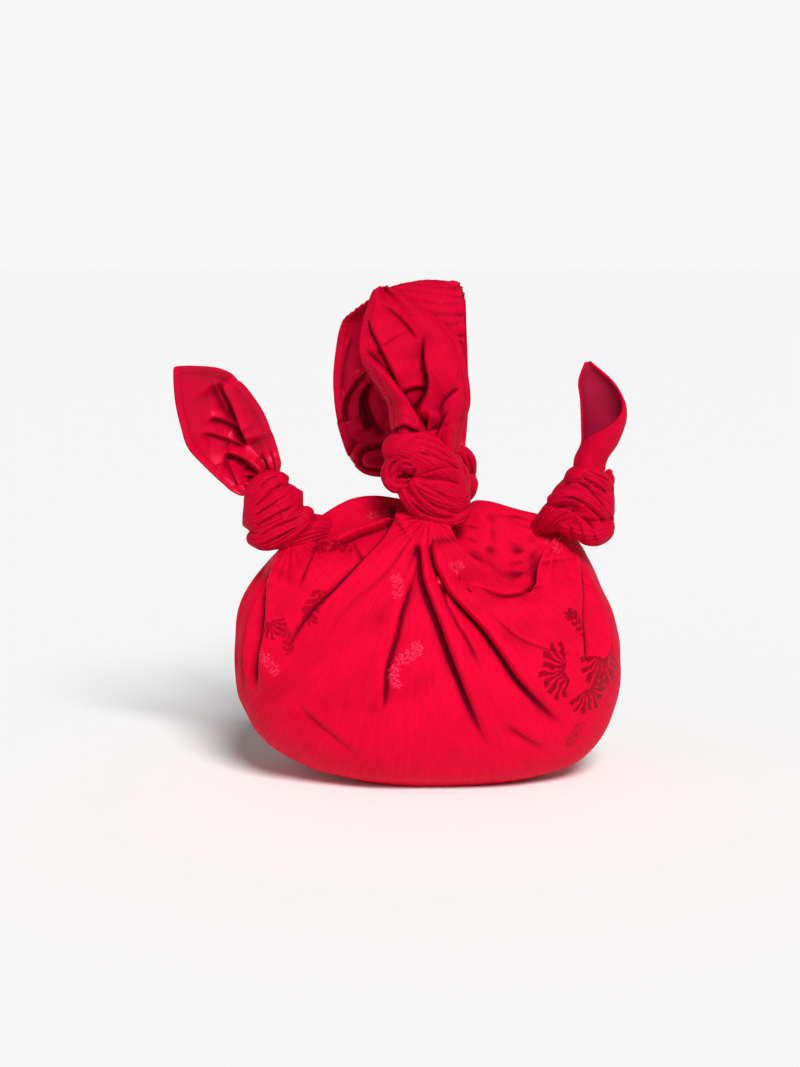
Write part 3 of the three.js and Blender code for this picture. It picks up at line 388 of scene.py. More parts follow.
# Rows of the tails from the root to the tip, as shares of each tail's length and width.
LEFT_TAIL = (
    # along, left, right, back, cup
    (-0.08, -0.14, 0.14, 0, 0.02),
    (0.01, -0.19, 0.18, 0, 0.05),
    (0.07, -0.34, 0.27, 0, 0.1),
    (0.2, -0.4, 0.35, 0.02, 0.17),
    (0.37, -0.45, 0.45, 0.06, 0.2),
    (0.53, -0.465, 0.49, 0.06, 0.17),
    (0.66, -0.38, 0.485, 0.04, 0.13),
    (0.8, -0.26, 0.39, 0, 0.08),
    (0.92, -0.12, 0.185, -0.05, 0.03),
    (1, -0.01, 0.01, -0.08, 0),
)
RIGHT_TAIL = (
    # along, left, right, how far the flap is open in degrees, depth of the roll
    (-0.1, -0.28, 0.28, 0, 0.24),
    (0.11, -0.28, 0.35, 0, 0.26),
    (0.26, -0.14, 0.57, 8, 0.3),
    (0.42, -0.14, 0.72, 86, 0.33),
    (0.54, -0.15, 0.76, 126, 0.33),
    (0.67, -0.17, 0.68, 152, 0.28),
    (0.83, -0.21, 0.44, 172, 0.18),
    (1, -0.08, -0.02, 180, 0.04),
)
FRONT_TAIL = (
    # rise, left, right, back, bulge
    (0.12, -0.29, 0.28, -0.04, 0.06),
    (0.21, -0.32, 0.305, -0.06, 0.1),
    (0.28, -0.34, 0.33, -0.08, 0.12),
    (0.39, -0.37, 0.375, -0.1, 0.13),
    (0.55, -0.55, 0.345, -0.1, 0.13),
    (0.635, -0.615, 0.31, -0.06, 0.12),
    (0.72, -0.62, 0.25, 0, 0.11),
    (0.8, -0.59, 0.11, 0.07, 0.09),
    (0.865, -0.55, -0.05, 0.14, 0.06),
    (0.945, -0.5, -0.28, 0.24, 0.02),
    (0.97, -0.44, -0.37, 0.27, 0),
)
REAR_BAND = (
    # along, left x, y, z, right x, y, z, bulge
    (0, 0, 0.7, 0.01, 0.24, 0.7, 0.04, 0),
    (0.08, -0.33, 0.77, -0.04, 0.29, 0.82, 0.09, 0.06),
    (0.2, -0.555, 0.85, 0, 0.315, 0.9, 0.21, 0.1),
    (0.34, -0.695, 0.87, 0.2, 0.325, 0.95, 0.38, 0.12),
    (0.48, -0.74, 0.88, 0.41, 0.32, 0.95, 0.59, 0.1),
    (0.61, -0.72, 0.84, 0.61, 0.31, 0.87, 0.74, 0.06),
    (0.7, -0.665, 0.73, 0.77, 0.3, 0.74, 0.87, 0.03),
    (0.755, -0.57, 0.64, 0.83, 0.28, 0.66, 0.935, 0.02),
    (0.81, -0.46, 0.5, 0.885, 0.25, 0.51, 0.97, 0.02),
    (0.865, -0.38, 0.36, 0.925, 0.225, 0.37, 0.97, 0),
    (0.92, -0.3, 0.24, 0.87, 0.27, 0.22, 0.885, -0.04),
    (1, -0.22, 0.1, 0.7, 0.27, 0.09, 0.68, -0.03),
)
# The turned-in hem of a tail, in mm: how far it stands up and how far in from the edge it reaches.
HEM_RELIEF, HEM_REACH = 0.35, 6.2
# Creases of the tails, in the columns of the pouch's creases.
LEFT_TAIL_CREASES = (
    ("broad fold", 7.6, 12, 9.0, 8, 2.4, 0.15, 0.12,
     ((-160.4, 307.7), (-155.8, 298.4), (-151.1, 289.9), (-145.7, 275.9), (-141.8, 266.6), (-138, 256.5))),
    ("tip ridge", 2.5, 7, 1.4, 5, 0.0, 0.3, 0.3,
     ((-165.8, 309.2), (-163.5, 299.9), (-158.9, 289.9), (-153.5, 281.3))),
    ("middle ridge", 4.0, 5, 2.2, 4, 0.3, 0.25, 0.15,
     ((-171.3, 273.6), (-165.8, 278.2), (-155.8, 275.9), (-146.5, 271.2), (-139.5, 265.1))),
    ("lower valley", 1.4, 4, 4.0, 4, 0.3, 0.3, 0.15,
     ((-178.2, 264.3), (-169.7, 266.6), (-158.9, 263.5), (-148, 259.6), (-138.7, 255.8))),
    ("round fold", 5.4, 7, 7.9, 5, 1.8, 0.1, 0.25,
     ((-157.3, 251.9), (-148, 249.6), (-138.7, 244.9), (-131, 237.9), (-125.5, 230.2))),
    ("fold's back", 2.5, 5, 3.2, 4, 0.6, 0.1, 0.2,
     ((-155, 246.5), (-151.9, 239.5), (-148.8, 231.7), (-144.9, 224))),
    ("root fold", 2.9, 3, 4.3, 2.6, 0.9, 0.2, 0.05,
     ((-141.8, 244.1), (-135.6, 239.5), (-129.4, 233.3), (-124.8, 227.1))),
    ("second root fold", 2.9, 3, 4.7, 2.4, 0.8, 0.25, 0.05,
     ((-141.8, 234.8), (-135.6, 233.3), (-130.2, 229.4), (-126.3, 224.8))),
    ("third root fold", 2.5, 3, 4.3, 2.4, 0.8, 0.25, 0.05,
     ((-141.8, 227.1), (-136.4, 226.3), (-131.8, 224.8), (-127.9, 222.4))),
    ("right root fold", 2.5, 3, 4.3, 2.4, 0.8, 0.25, 0.05,
     ((-127.9, 251.9), (-124, 244.9), (-121.7, 237.9), (-120.9, 230.2))),
    ("far right fold", 2.2, 3, 2.9, 2.4, 0.4, 0.3, 0.05,
     ((-121.7, 255), (-118.6, 247.2), (-117, 239.5), (-117.8, 231.7))),
)
FRONT_TAIL_CREASES = (
    ("folded side", 6.1, 7, 9.0, 8, 2.4, 0.04, 0.2,
     ((-1.6, 263.5), (-4.7, 272), (-11.6, 286.8), (-24.8, 303.8), (-36.4, 317), (-46.5, 326.3),
      (-50.4, 335.6))),
    ("long valley", 1.8, 8, 5.8, 7, 0.3, 0.25, 0.2,
     ((-46.5, 360.4), (-42.6, 346.4), (-36.4, 334), (-27.9, 317.8), (-20.9, 301.5))),
    ("pocket", 6.1, 12, 9.7, 6, 2.7, 0.25, 0.12,
     ((-2.3, 341.8), (-1.6, 330.9), (-0.8, 320.1), (1.6, 309.2), (0.8, 298.4), (-3.9, 288.3),
      (-8.5, 276.7))),
    ("pocket's lower lip", 2.5, 5, 3.2, 4, 0.4, 0.25, 0.25,
     ((-20.9, 298.4), (-13.2, 301.5), (-5.4, 303), (0.8, 301.5))),
    ("right valley", 1.4, 8, 4.0, 7, 0.3, 0.25, 0.25,
     ((27.1, 301.5), (19.4, 296.1), (13.2, 289.1), (10.1, 278.2))),
    ("right root crease", 2.2, 4, 4.3, 3, 0.8, 0.3, 0.1,
     ((17.1, 284.4), (12.4, 275.1), (8.5, 265.8), (5.4, 256.5))),
    ("middle root crease", 2.2, 4, 4.3, 3, 0.8, 0.3, 0.1,
     ((2.3, 284.4), (0.8, 273.6), (0, 262.7), (0, 253.4))),
    ("root bulge", 2.9, 4, 4.0, 3, 0.8, 0.2, 0.2,
     ((-28.7, 268.9), (-23.2, 271.2), (-17.8, 273.6), (-11.6, 270.5), (-5.4, 268.2))),
    ("top swell", 2.2, 10, 1.4, 6, 0.0, 0.3, 0.3,
     ((-38, 369.7), (-27.1, 361.9), (-14.7, 349.5), (-5.4, 337.1))),
)
REAR_BAND_CREASES = (
    ("bright ridge", 5.0, 4, 5.4, 4, 0.6, 0.1, 0.2,
     ((-65.1, 273.6), (-65.9, 286), (-62, 296.8), (-55, 306.9), (-45, 316.2))),
    ("dark valley", 2.9, 6, 7.6, 7, 1.2, 0.1, 0.2,
     ((-47.3, 267.4), (-51.9, 279.8), (-52.7, 290.6), (-49.6, 299.9), (-41.1, 309.2))),
    ("inner fold", 4.3, 5, 6.1, 5, 1.2, 0.15, 0.2,
     ((-42.6, 304.6), (-45, 295.3), (-43.4, 284.4), (-38, 273.6), (-30.2, 265.8))),
    ("turned fold", 4.0, 3, 5.4, 4, 0.8, 0.12, 0.12,
     ((-28.7, 254.2), (-39.5, 253.4), (-47.3, 251.1), (-50.4, 246.5), (-47.3, 241), (-38, 239.5),
      (-28.7, 239.5))),
    ("side fold", 2.2, 5, 3.2, 4, 0.3, 0.25, 0.25,
     ((-51.1, 261.2), (-56.6, 255), (-58.1, 247.2), (-55, 241))),
    ("hem fold", 1.3, 4, 1.6, 3, 0.2, 0.15, 0.15,
     ((-65.9, 289.1), (-66.7, 301.5), (-65.9, 313.9), (-62.8, 329.4), (-58.9, 341.8))),
)


def linear(hex_colour):
    """An sRGB hex colour as the linear RGBA that a shader socket takes."""
    parts = [int(hex_colour[i : i + 2], 16) / 255 for i in (1, 3, 5)]
    return tuple(c / 12.92 if c < 0.04045 else ((c + 0.055) / 1.055) ** 2.4 for c in parts) + (1.0,)


def smooth(v):
    v = np.clip(v, 0, 1)
    return v * v * (3 - 2 * v)


def mix(a, b, share):
    return a + (b - a) * share


def unit(v):
    return v / np.maximum(np.linalg.norm(v, axis=-1, keepdims=True), 1e-9)


def table_curve(places, values, at, period=0):
    """Values of a table's columns at some places, by a smooth curve through its rows."""
    x, v = np.array(places, float), np.array(values, float)
    if period:
        x = np.concatenate([x[-2:] - period, x, x[:3] + period])
        v = np.concatenate([v[-2:], v, v[:3]])
    after, before = np.minimum(np.arange(len(x)) + 1, len(x) - 1), np.maximum(np.arange(len(x)) - 1, 0)
    shape = (-1,) + (1,) * (v.ndim - 1)
    slope = (v[after] - v[before]) / (x[after] - x[before]).reshape(shape)
    at = np.asarray(at, float)
    i = np.clip(np.searchsorted(x, at, side="right") - 1, 0, len(x) - 2)
    span = (x[i + 1] - x[i]).reshape(shape)
    t = np.clip(((at - x[i]) / (x[i + 1] - x[i])), 0, 1).reshape(shape)
    return (
        v[i] * (2 * t**3 - 3 * t**2 + 1)
        + slope[i] * span * (t**3 - 2 * t**2 + t)
        + v[i + 1] * (3 * t**2 - 2 * t**3)
        + slope[i + 1] * span * (t**3 - t**2)
    )


def seen(points, behind=False):
    """u and v of points as the photo's camera sees them, or one like it behind the bag."""
    p = points * np.array([-1, -1, 1]) if behind else points
    aim_x = -AIM[0] if behind else AIM[0]
    c, s = math.cos(TILT), math.sin(TILT)
    d = p - np.array([aim_x, -DISTANCE * c, AIM[2] + DISTANCE * s])
    depth = d[..., 1] * c - d[..., 2] * s
    return np.stack(
        [d[..., 0] * DISTANCE / depth + aim_x, (d[..., 1] * s + d[..., 2] * c) * DISTANCE / depth + AIM_RISE],
        axis=-1,
    )


def unseen(u, v, y):
    """The point at depth y that the camera sees at u and v."""
    c, s = math.cos(TILT), math.sin(TILT)
    depth = (y + DISTANCE * c) / (c + (v - AIM_RISE) * s / DISTANCE)
    up = (v - AIM_RISE) * depth / DISTANCE
    z = AIM[2] + DISTANCE * s - depth * s + up * c
    return np.stack([AIM[0] + (u - AIM[0]) * depth / DISTANCE, y, z], axis=-1)


def grid_normals(grid, closed=False):
    """Unit normals of a grid of points, out where rows run up and columns run to the right."""
    if closed:
        across = np.roll(grid, -1, axis=1) - np.roll(grid, 1, axis=1)
    else:
        across = np.gradient(grid, axis=1)
    return unit(np.cross(across, np.gradient(grid, axis=0)))


def line_distance(flat, line):
    """Signed distance of flat points from a smooth line, above 0 on its left, and the share along it."""
    line = np.array(line, float)
    steps = np.concatenate([[0], np.cumsum(np.linalg.norm(np.diff(line, axis=0), axis=1))])
    fine = table_curve(steps, line, np.linspace(0, steps[-1], max(8, int(steps[-1] / 2.5))))
    best = np.full(len(flat), 1e9)
    side = np.ones(len(flat))
    along = np.zeros(len(flat))
    for k in range(len(fine) - 1):
        a, d = fine[k], fine[k + 1] - fine[k]
        rest = flat - a
        t = (rest @ d) / (d @ d)
        t_in = np.clip(t, 0, 1)
        away = np.linalg.norm(rest - t_in[:, None] * d, axis=1)
        closer = away < best
        best[closer] = away[closer]
        side[closer] = np.sign(d[0] * rest[closer, 1] - d[1] * rest[closer, 0])
        along[closer] = (k + t_in[closer]) / (len(fine) - 1)
    return best * side, along, fine


def pressed(grid, normals, creases, gathers=(), behind=False):
    """The grid with creases and gathers pressed into the side that faces the camera."""
    points, n = grid.reshape(-1, 3).copy(), normals.reshape(-1, 3)
    flat = seen(points, behind)
    c, s = math.cos(TILT), math.sin(TILT)
    way = -1 if behind else 1
    facing = smooth((-n[:, 1] * way * c + n[:, 2] * s - 0.02) / 0.2)
    right, up = np.array([way, 0, 0]), np.array([0, s * way, c])
    out = np.zeros(len(points))
    pull = np.zeros((len(points), 3))
    for _, rise, rise_width, dip, dip_width, lap, fade_in, fade_out, line in creases:
        reach = 5 * max(rise_width, dip_width)
        corners = np.array(line, float)
        inside = (flat > corners.min(0) - reach) & (flat < corners.max(0) + reach)
        near = np.all(inside, axis=1) & (facing > 0)
        if not near.any():
            continue
        off, along, fine = line_distance(flat[near], line)
        fade = smooth(along / fade_in) * smooth((1 - along) / fade_out)
        # Each side is a sharp swell on a broad one.
        sharp, broad = np.exp(-((off / rise_width) ** 2)), np.exp(-((off / rise_width / 2.4) ** 2))
        proud = rise * (0.6 * sharp + 0.4 * broad)
        sharp = np.exp(-np.abs(off / dip_width) ** 1.3)
        broad = np.exp(-((off / dip_width / 2.6) ** 2))
        low = -dip * (0.6 * sharp + 0.4 * broad)
        # The back's grid is coarser, so its creases slope more gently.
        steep = 4.5 if behind else max(1.3, 0.16 * (rise + dip))
        share = smooth((off + steep) / steep / 2)
        out[near] += mix(low, proud, share) * fade * facing[near]
        if lap:
            k = np.clip((along * (len(fine) - 1)).astype(int), 0, len(fine) - 2)
            d = unit(fine[k + 1] - fine[k])
            across = -d[:, 1:2] * right + d[:, 0:1] * up
            amount = lap * smooth((off + lap) / lap / 2) * np.exp(-np.abs(off) / (0.5 * rise_width))
            pull[near] -= across * (amount * fade * facing[near])[:, None]
    for u, v, count, reach, deep in gathers:
        d = flat - np.array([u, v])
        r = np.linalg.norm(d, axis=1)
        turn = np.arctan2(d[:, 1], d[:, 0])
        wobble = 0.9 * np.sin(3 * turn + 0.7) + 0.5 * np.sin(7 * turn + 0.04 * r) + 0.3 * np.sin(0.09 * r)
        ridge = np.abs(np.sin(0.5 * count * turn + wobble)) ** 0.8 - 0.6
        ridge *= 0.7 + 0.3 * np.sin(4 * turn + 1.9 + 0.03 * r)
        out += deep * ridge * np.exp(-r / reach) * smooth(r / 8) * facing
    pull -= n * (pull * n).sum(1, keepdims=True)
    points += unit(n + 2 * np.array([0, -c * way, s])) * out[:, None] + pull
    return points.reshape(grid.shape)


def ripple(points, size, amount):
    """Slow, even unevenness of hanging cloth, the same each time."""
    x, y, z = (points[..., k] / size for k in range(3))
    waves = (
        np.sin(1.9 * x + 1.3 * y + 0.7 * z + 0.4)
        + np.sin(-1.1 * x + 2.3 * z + 1.9 * y + 2.1)
        + 0.7 * np.sin(3.1 * x - 2.2 * z + 0.3)
        + 0.5 * np.sin(4.3 * z + 3.7 * y - 2.9 * x + 1.2)
    )
    return amount * waves / 3.2


def plan_points(turns, left, right, front, back, square):
    across, deep = -np.cos(2 * np.pi * turns), -np.sin(2 * np.pi * turns)
    reach_x = BAG_WIDTH / 2 * mix(left, right, smooth(across * 1.5 + 0.5))
    reach_y = BAG_DEPTH / 2 * mix(front, back, smooth(deep * 1.5 + 0.5))
    power = 2 / square
    return (
        np.sign(across) * np.abs(across) ** power * reach_x,
        np.sign(deep) * np.abs(deep) ** power * reach_y,
    )


def pouch_rings(turns):
    """The pouch's sections, shoulder, brow and free edge at some turns, and the place of each."""
    rows = np.array(MOUTH, float)
    edge = table_curve(rows[:, 0], rows[:, 1:], turns, 1)
    half = np.array([BAG_WIDTH / 2, BAG_DEPTH / 2, BAG_HEIGHT])
    rings, places = [], []
    for place, rise, *plan in SECTIONS:
        x, y = plan_points(turns, *plan)
        rings.append(np.stack([x, y, np.full(len(turns), rise * BAG_HEIGHT)], axis=-1))
        places.append(place)
    rim, brow = edge[:, :3] * half, edge[:, 3:] * half
    x, y = plan_points(turns, *SHOULDER[2:])
    height = mix(rings[-1][:, 2], np.minimum(brow[:, 2], 0.84 * BAG_HEIGHT), SHOULDER[1])
    rings += [np.stack([x, y, height], axis=-1), brow, rim]
    return np.array(places + [SHOULDER[0], BROW_PLACE, 1.0]), np.array(rings)


def pouch_grid(turns, rows):
    """The pouch's smooth outer face, one row of points for each place."""
    places, rings = pouch_rings(turns)
    grid = table_curve(places, rings, rows)
    grid[..., 2] = np.maximum(grid[..., 2], 0)
    flat = rows < places[0]
    centre = np.array([*BASE_CENTRE, 0], float)
    grid[flat] = mix(centre, rings[0][None], (rows[flat] / places[0])[:, None, None])
    return grid


def knot_axis(turn, height, width, lean, lift, sideways, back):
    """Where a knot's middle is, above the mouth's corner."""
    corner = pouch_rings(np.array([turn]))[1][-1, 0]
    tilt = math.radians(lean)
    axis = np.array([math.sin(tilt), 0, math.cos(tilt)])
    return corner + axis * lift * height + np.array([sideways * width, back * width, 0])


def sheet_faces(rows, columns):
    """Faces of a closed sheet made of a front grid, a back grid and the strips between their edges."""
    r, c = np.meshgrid(np.arange(rows - 1), np.arange(columns - 1), indexing="ij")
    a = (r * columns + c).ravel()
    front = np.stack([a, a + 1, a + 1 + columns, a + columns], axis=1)
    size = rows * columns
    back = front[:, ::-1] + size
    loop = np.concatenate(
        [
            np.arange(columns - 1),
            np.arange(rows - 1) * columns + columns - 1,
            (rows - 1) * columns + np.arange(columns - 1, 0, -1),
            np.arange(rows - 1, 0, -1) * columns,
        ]
    )
    after = np.roll(loop, -1)
    edge = np.stack([loop, loop + size, after + size, after], axis=1)
    return front, back, edge


def vertex_arrays(mesh):
    points = np.zeros(len(mesh.vertices) * 3, np.float32)
    normals = np.zeros(len(mesh.vertices) * 3, np.float32)
    mesh.vertices.foreach_get("co", points)
    mesh.vertex_normals.foreach_get("vector", normals)
    return points.reshape(-1, 3).astype(float) / MM, normals.reshape(-1, 3).astype(float)


def add_hollows(mesh):
    """Stores how deep each point of a mesh lies in a fold, in mm, close around it and further off. The
    materials paint shade into the deep points from it.
    """
    count = len(mesh.vertices)
    p, n = vertex_arrays(mesh)
    ends = np.zeros(len(mesh.edges) * 2, np.int32)
    mesh.edges.foreach_get("vertices", ends)
    a, b = ends.reshape(-1, 2).T
    near = np.maximum(np.bincount(a, minlength=count) + np.bincount(b, minlength=count), 1)
    q, found = p.copy(), []
    for step in range(1, 41):
        mean = [
            (np.bincount(a, q[b, k], minlength=count) + np.bincount(b, q[a, k], minlength=count)) / near
            for k in range(3)
        ]
        q = mix(q, np.stack(mean, axis=1), 0.8)
        if step in (6, 40):
            found.append(((q - p) * n).sum(1))
    layer = mesh.attributes.new("hollow", "FLOAT_VECTOR", "POINT")
    layer.data.foreach_set("vector", np.stack([*found, 0 * found[0]], axis=1).astype(np.float32).ravel())


def add_mesh(name, points, faces, materials, slots, fields=()):
    """A smooth-shaded object at the origin, from points in mm."""
    mesh = bpy.data.meshes.new(name)
    mesh.from_pydata((points * MM).tolist(), [], [f.tolist() if hasattr(f, "tolist") else f for f in faces])
    for material in materials:
        mesh.materials.append(material)
    mesh.polygons.foreach_set("material_index", np.asarray(slots, np.int32))
    mesh.polygons.foreach_set("use_smooth", np.ones(len(faces), bool))
    for field, values in fields:
        layer = mesh.attributes.new(field, "FLOAT_VECTOR", "POINT")
        layer.data.foreach_set("vector", np.asarray(values, np.float32).ravel())
    mesh.update()
    if fields:
        add_hollows(mesh)
    obj = bpy.data.objects.new(name, mesh)
    bpy.context.scene.collection.objects.link(obj)
    return obj


def motif_fields(points, normals):
    """For each layer, where every point lies on its nearest motif, with the motif's kind and tone."""
    fields = []
    for layer in MOTIF_LAYERS:
        best = np.full(len(points), 1e9)
        field = np.zeros((len(points), 3))
        for motifs, behind in ((FRONT_MOTIFS, False), (REAR_MOTIFS, True)):
            flat = seen(points, behind)
            way = -1 if behind else 1
            for name, kind, tone, u, v, size, turned in motifs:
                if name != layer:
                    continue
                gap = np.linalg.norm(flat - np.array([u, v]), axis=1) + 1e3 * (-normals[:, 1] * way < 0.15)
                at = int(gap.argmin())
                n = normals[at]
                right = unit(np.array([way, 0, 0]) - n * n[0] * way)
                up = np.cross(n, right)
                d = points - points[at]
                a, b = d @ right, d @ up
                angle = math.radians(turned)
                c, s = math.cos(angle), math.sin(angle)
                far = np.linalg.norm(d, axis=1) / size
                near = far < best
                best[near] = far[near]
                spot = np.stack([(a * c + b * s) / size, (b * c - a * s) / size, np.zeros(len(a))], axis=1)
                code = tone if kind == 1 else math.copysign(2 + abs(tone), tone)
                spot[:, 2] = np.where(far < 1.3, code, 0)
                field[near] = spot[near]
        fields.append(("motif_" + layer, field))
    return fields


def strand_mesh(line, ribs, ridge, around=120, along=64):
    """Points and faces of a pleated strand of gathered cloth."""
    line = np.array(line, float)
    centres = unseen(line[:, 0], line[:, 1], line[:, 2])
    steps = np.concatenate([[0], np.cumsum(np.linalg.norm(np.diff(centres, axis=0), axis=1))])
    at = np.linspace(0, steps[-1], along)
    path = table_curve(steps, centres, at)
    sizes = np.maximum(table_curve(steps, line[:, 3:5], at), 0.8)
    tangent = unit(np.gradient(path, axis=0))
    view = np.array([0, math.cos(TILT), -math.sin(TILT)])
    wide = unit(np.cross(tangent, view))
    deep = unit(np.cross(wide, tangent))
    theta = 2 * np.pi * np.arange(around) / around
    share = (at / steps[-1])[:, None]
    across = np.cos(theta)[None]
    phase = ribs * (across + 1) / 2 + 0.5 * np.sin(3.1 * across + 4 * share + ribs)
    phase = phase + 0.25 * np.sin(8 * across - 5 * share)
    pleat = 1.4 * (np.abs(np.sin(np.pi * phase)) ** 0.6 - 0.7)
    pleat = ridge * pleat * (0.75 + 0.25 * np.sin(5 * across + 6 * share + 1.3)) * (ribs > 0)
    to_side = across * (sizes[:, :1] + 0.4 * pleat)
    to_front = np.sin(theta)[None] * (sizes[:, 1:] + pleat * np.abs(np.sin(theta)) ** 0.5)
    ring = path[:, None] + wide[:, None] * to_side[..., None] + deep[:, None] * to_front[..., None]
    ends = [path[k] + way * tangent[k] * sizes[k].mean() * 0.5 for k, way in ((0, -1), (-1, 1))]
    points = np.concatenate([ring.reshape(-1, 3), ends])
    faces = []
    for r in range(along - 1):
        for c in range(around):
            a, b = r * around + c, r * around + (c + 1) % around
            faces.append([a, b, b + around, a + around])
    last = (along - 1) * around
    for c in range(around):
        b = (c + 1) % around
        faces.append([along * around, b, c])
        faces.append([along * around + 1, last + c, last + b])
    return points, faces


def make_knot(name, strands, creases, material):
    """A knot: its strands grown into one skin, with creases pressed into it."""
    points, faces, first = [], [], 0
    for _, ribs, ridge, line in strands:
        p, f = strand_mesh(line, ribs, ridge)
        points.append(p)
        faces += [[i + first for i in face] for face in f]
        first += len(p)
    obj = add_mesh(name, np.concatenate(points), faces, [material], np.zeros(len(faces)))
    skin = obj.modifiers.new("Skin", "REMESH")
    skin.mode, skin.voxel_size = "VOXEL", 0.6 * MM
    ease = obj.modifiers.new("Ease", "SMOOTH")
    ease.factor, ease.iterations = 0.5, 2
    bpy.context.view_layer.update()
    made = bpy.data.meshes.new_from_object(obj.evaluated_get(bpy.context.evaluated_depsgraph_get()))
    obj.modifiers.clear()
    old, obj.data = obj.data, made
    bpy.data.meshes.remove(old)
    made.name = name
    made.polygons.foreach_set("use_smooth", np.ones(len(made.polygons), bool))
    p, n = vertex_arrays(made)
    q = pressed(p, n, creases) + n * ripple(p, 7, 0.35)[:, None]
    made.vertices.foreach_set("co", (q * MM).astype(np.float32).ravel())
    made.update()
    add_hollows(made)
    return obj


def make_sheet(name, grid, thickness, materials, creases, near, relief=None):
    """A tail's sheet: its front grid with creases, hem and relief, its back and its edges."""
    normals = grid_normals(grid)
    face = pressed(grid, normals, creases)
    normals = grid_normals(face)
    if relief is not None:
        face = face + normals * relief[..., None]
        normals = grid_normals(face)
    raised = (HEM_RELIEF * smooth(HEM_REACH - near))[..., None]
    front = face + normals * raised
    back = face - normals * (thickness + raised)
    rows, columns = grid.shape[:2]
    faces = sheet_faces(rows, columns)
    slots = np.concatenate([np.full(len(f), i) for f, i in zip(faces, (0, 1, 1))])
    steps = np.linalg.norm(np.diff(grid, axis=1), axis=2)
    across = np.concatenate([np.zeros((rows, 1)), np.cumsum(steps, axis=1)], axis=1)
    across -= across[:, columns // 2 : columns // 2 + 1]
    rise = np.linalg.norm(np.diff(grid[:, columns // 2], axis=0), axis=1)
    along = np.concatenate([[0], np.cumsum(rise)])[:, None] * np.ones((rows, columns))
    thread = np.stack([across, along, np.zeros((rows, columns))], axis=-1).reshape(-1, 3)
    obj = add_mesh(
        name,
        np.concatenate([front.reshape(-1, 3), back.reshape(-1, 3)]),
        np.concatenate(faces),
        materials,
        slots,
        [("thread", np.concatenate([thread, thread]))],
    )
    return obj, front, normals


def edge_distance(grid):
    """How far each point of a tail's grid is from its long edges and its tip, in mm."""
    steps = np.linalg.norm(np.diff(grid, axis=1), axis=2)
    across = np.concatenate([np.zeros((len(grid), 1)), np.cumsum(steps, axis=1)], axis=1)
    side = np.minimum(across, across[:, -1:] - across)
    rise = np.linalg.norm(np.diff(grid.mean(axis=1), axis=0), axis=1)
    along = np.concatenate([[0], np.cumsum(rise)])
    return np.minimum(side, (along[-1] - along)[:, None])


def root_folds(across, share):
    return 2.4 * np.cos(6 * np.pi * across) * (1 - smooth(share / 0.55))


def placed(local, lean, middle):
    """Points on their own axis, leant in the front view and moved to their place."""
    c, s = math.cos(math.radians(lean)), math.sin(math.radians(lean))
    x, y, z = local[..., 0], local[..., 1], local[..., 2]
    return np.stack([x * c + z * s, y, z * c - x * s], axis=-1) + middle


def tail_root(name, rise, sideways):
    """Where a tail leaves its knot: up along the lean and to the side, as shares of the knot's size."""
    _, height, width, lean, *_ = KNOT_PLACES[name]
    tilt = math.radians(lean)
    up = np.array([math.sin(tilt), 0, math.cos(tilt)]) * rise * height
    return knot_axis(*KNOT_PLACES[name]) + up + np.array([sideways * width, 0, 0])


def left_tail_grid(rows, columns):
    share, across = np.meshgrid(np.linspace(0, 1, rows), np.linspace(0, 1, columns), indexing="ij")
    table = np.array(LEFT_TAIL, float)
    along = mix(table[0, 0], 1, share[:, 0])
    left, right, back, cup = (
        table_curve(table[:, 0], table[:, k], along)[:, None] * LEFT_TAIL_WIDTH for k in range(1, 5)
    )
    y = back + cup * 4 * across * (1 - across) + root_folds(across, share)
    z = along[:, None] * LEFT_TAIL_LENGTH + 0 * across
    local = np.stack([mix(left, right, across), y, z], axis=-1)
    return placed(local, LEFT_TAIL_LEAN, tail_root("left", 0.38, 0.06))


def right_tail_grid(rows, columns):
    share, across = np.meshgrid(np.linspace(0, 1, rows), np.linspace(0, 1, columns), indexing="ij")
    table = np.array(RIGHT_TAIL, float)
    along = mix(table[0, 0], 1, share[:, 0])
    left, right, opened, deep = (table_curve(table[:, 0], table[:, k], along)[:, None] for k in range(1, 5))
    angle = np.radians(mix(178, -172 + opened, across))
    x = ((left + right) / 2 + np.cos(angle) * (right - left) / 2) * RIGHT_TAIL_WIDTH
    y = np.sin(angle) * deep * RIGHT_TAIL_WIDTH + 0.5 * root_folds(across, share)
    z = along[:, None] * RIGHT_TAIL_LENGTH + 0 * across
    return np.stack([x, y, z], axis=-1) + tail_root("right", 0.48, -0.13)


def front_tail_grid(rows, columns):
    share, across = np.meshgrid(np.linspace(0, 1, rows), np.linspace(0, 1, columns), indexing="ij")
    table = np.array(FRONT_TAIL, float)
    rise = mix(table[0, 0], table[-1, 0], share[:, 0])
    left, right, back, bulge = (table_curve(table[:, 0], table[:, k], rise)[:, None] for k in range(1, 5))
    bow = bulge * 4 * across * (1 - across) + 0.05 * np.sin(3 * np.pi * across)
    base = knot_axis(*KNOT_PLACES["front"])
    return np.stack(
        [
            base[0] + mix(left, right, across) * FRONT_TAIL_WIDTH,
            base[1] + (back - bow) * HANDLE_DEPTH + root_folds(across, share),
            base[2] + rise[:, None] * HANDLE_RISE + 0 * across,
        ],
        axis=-1,
    )


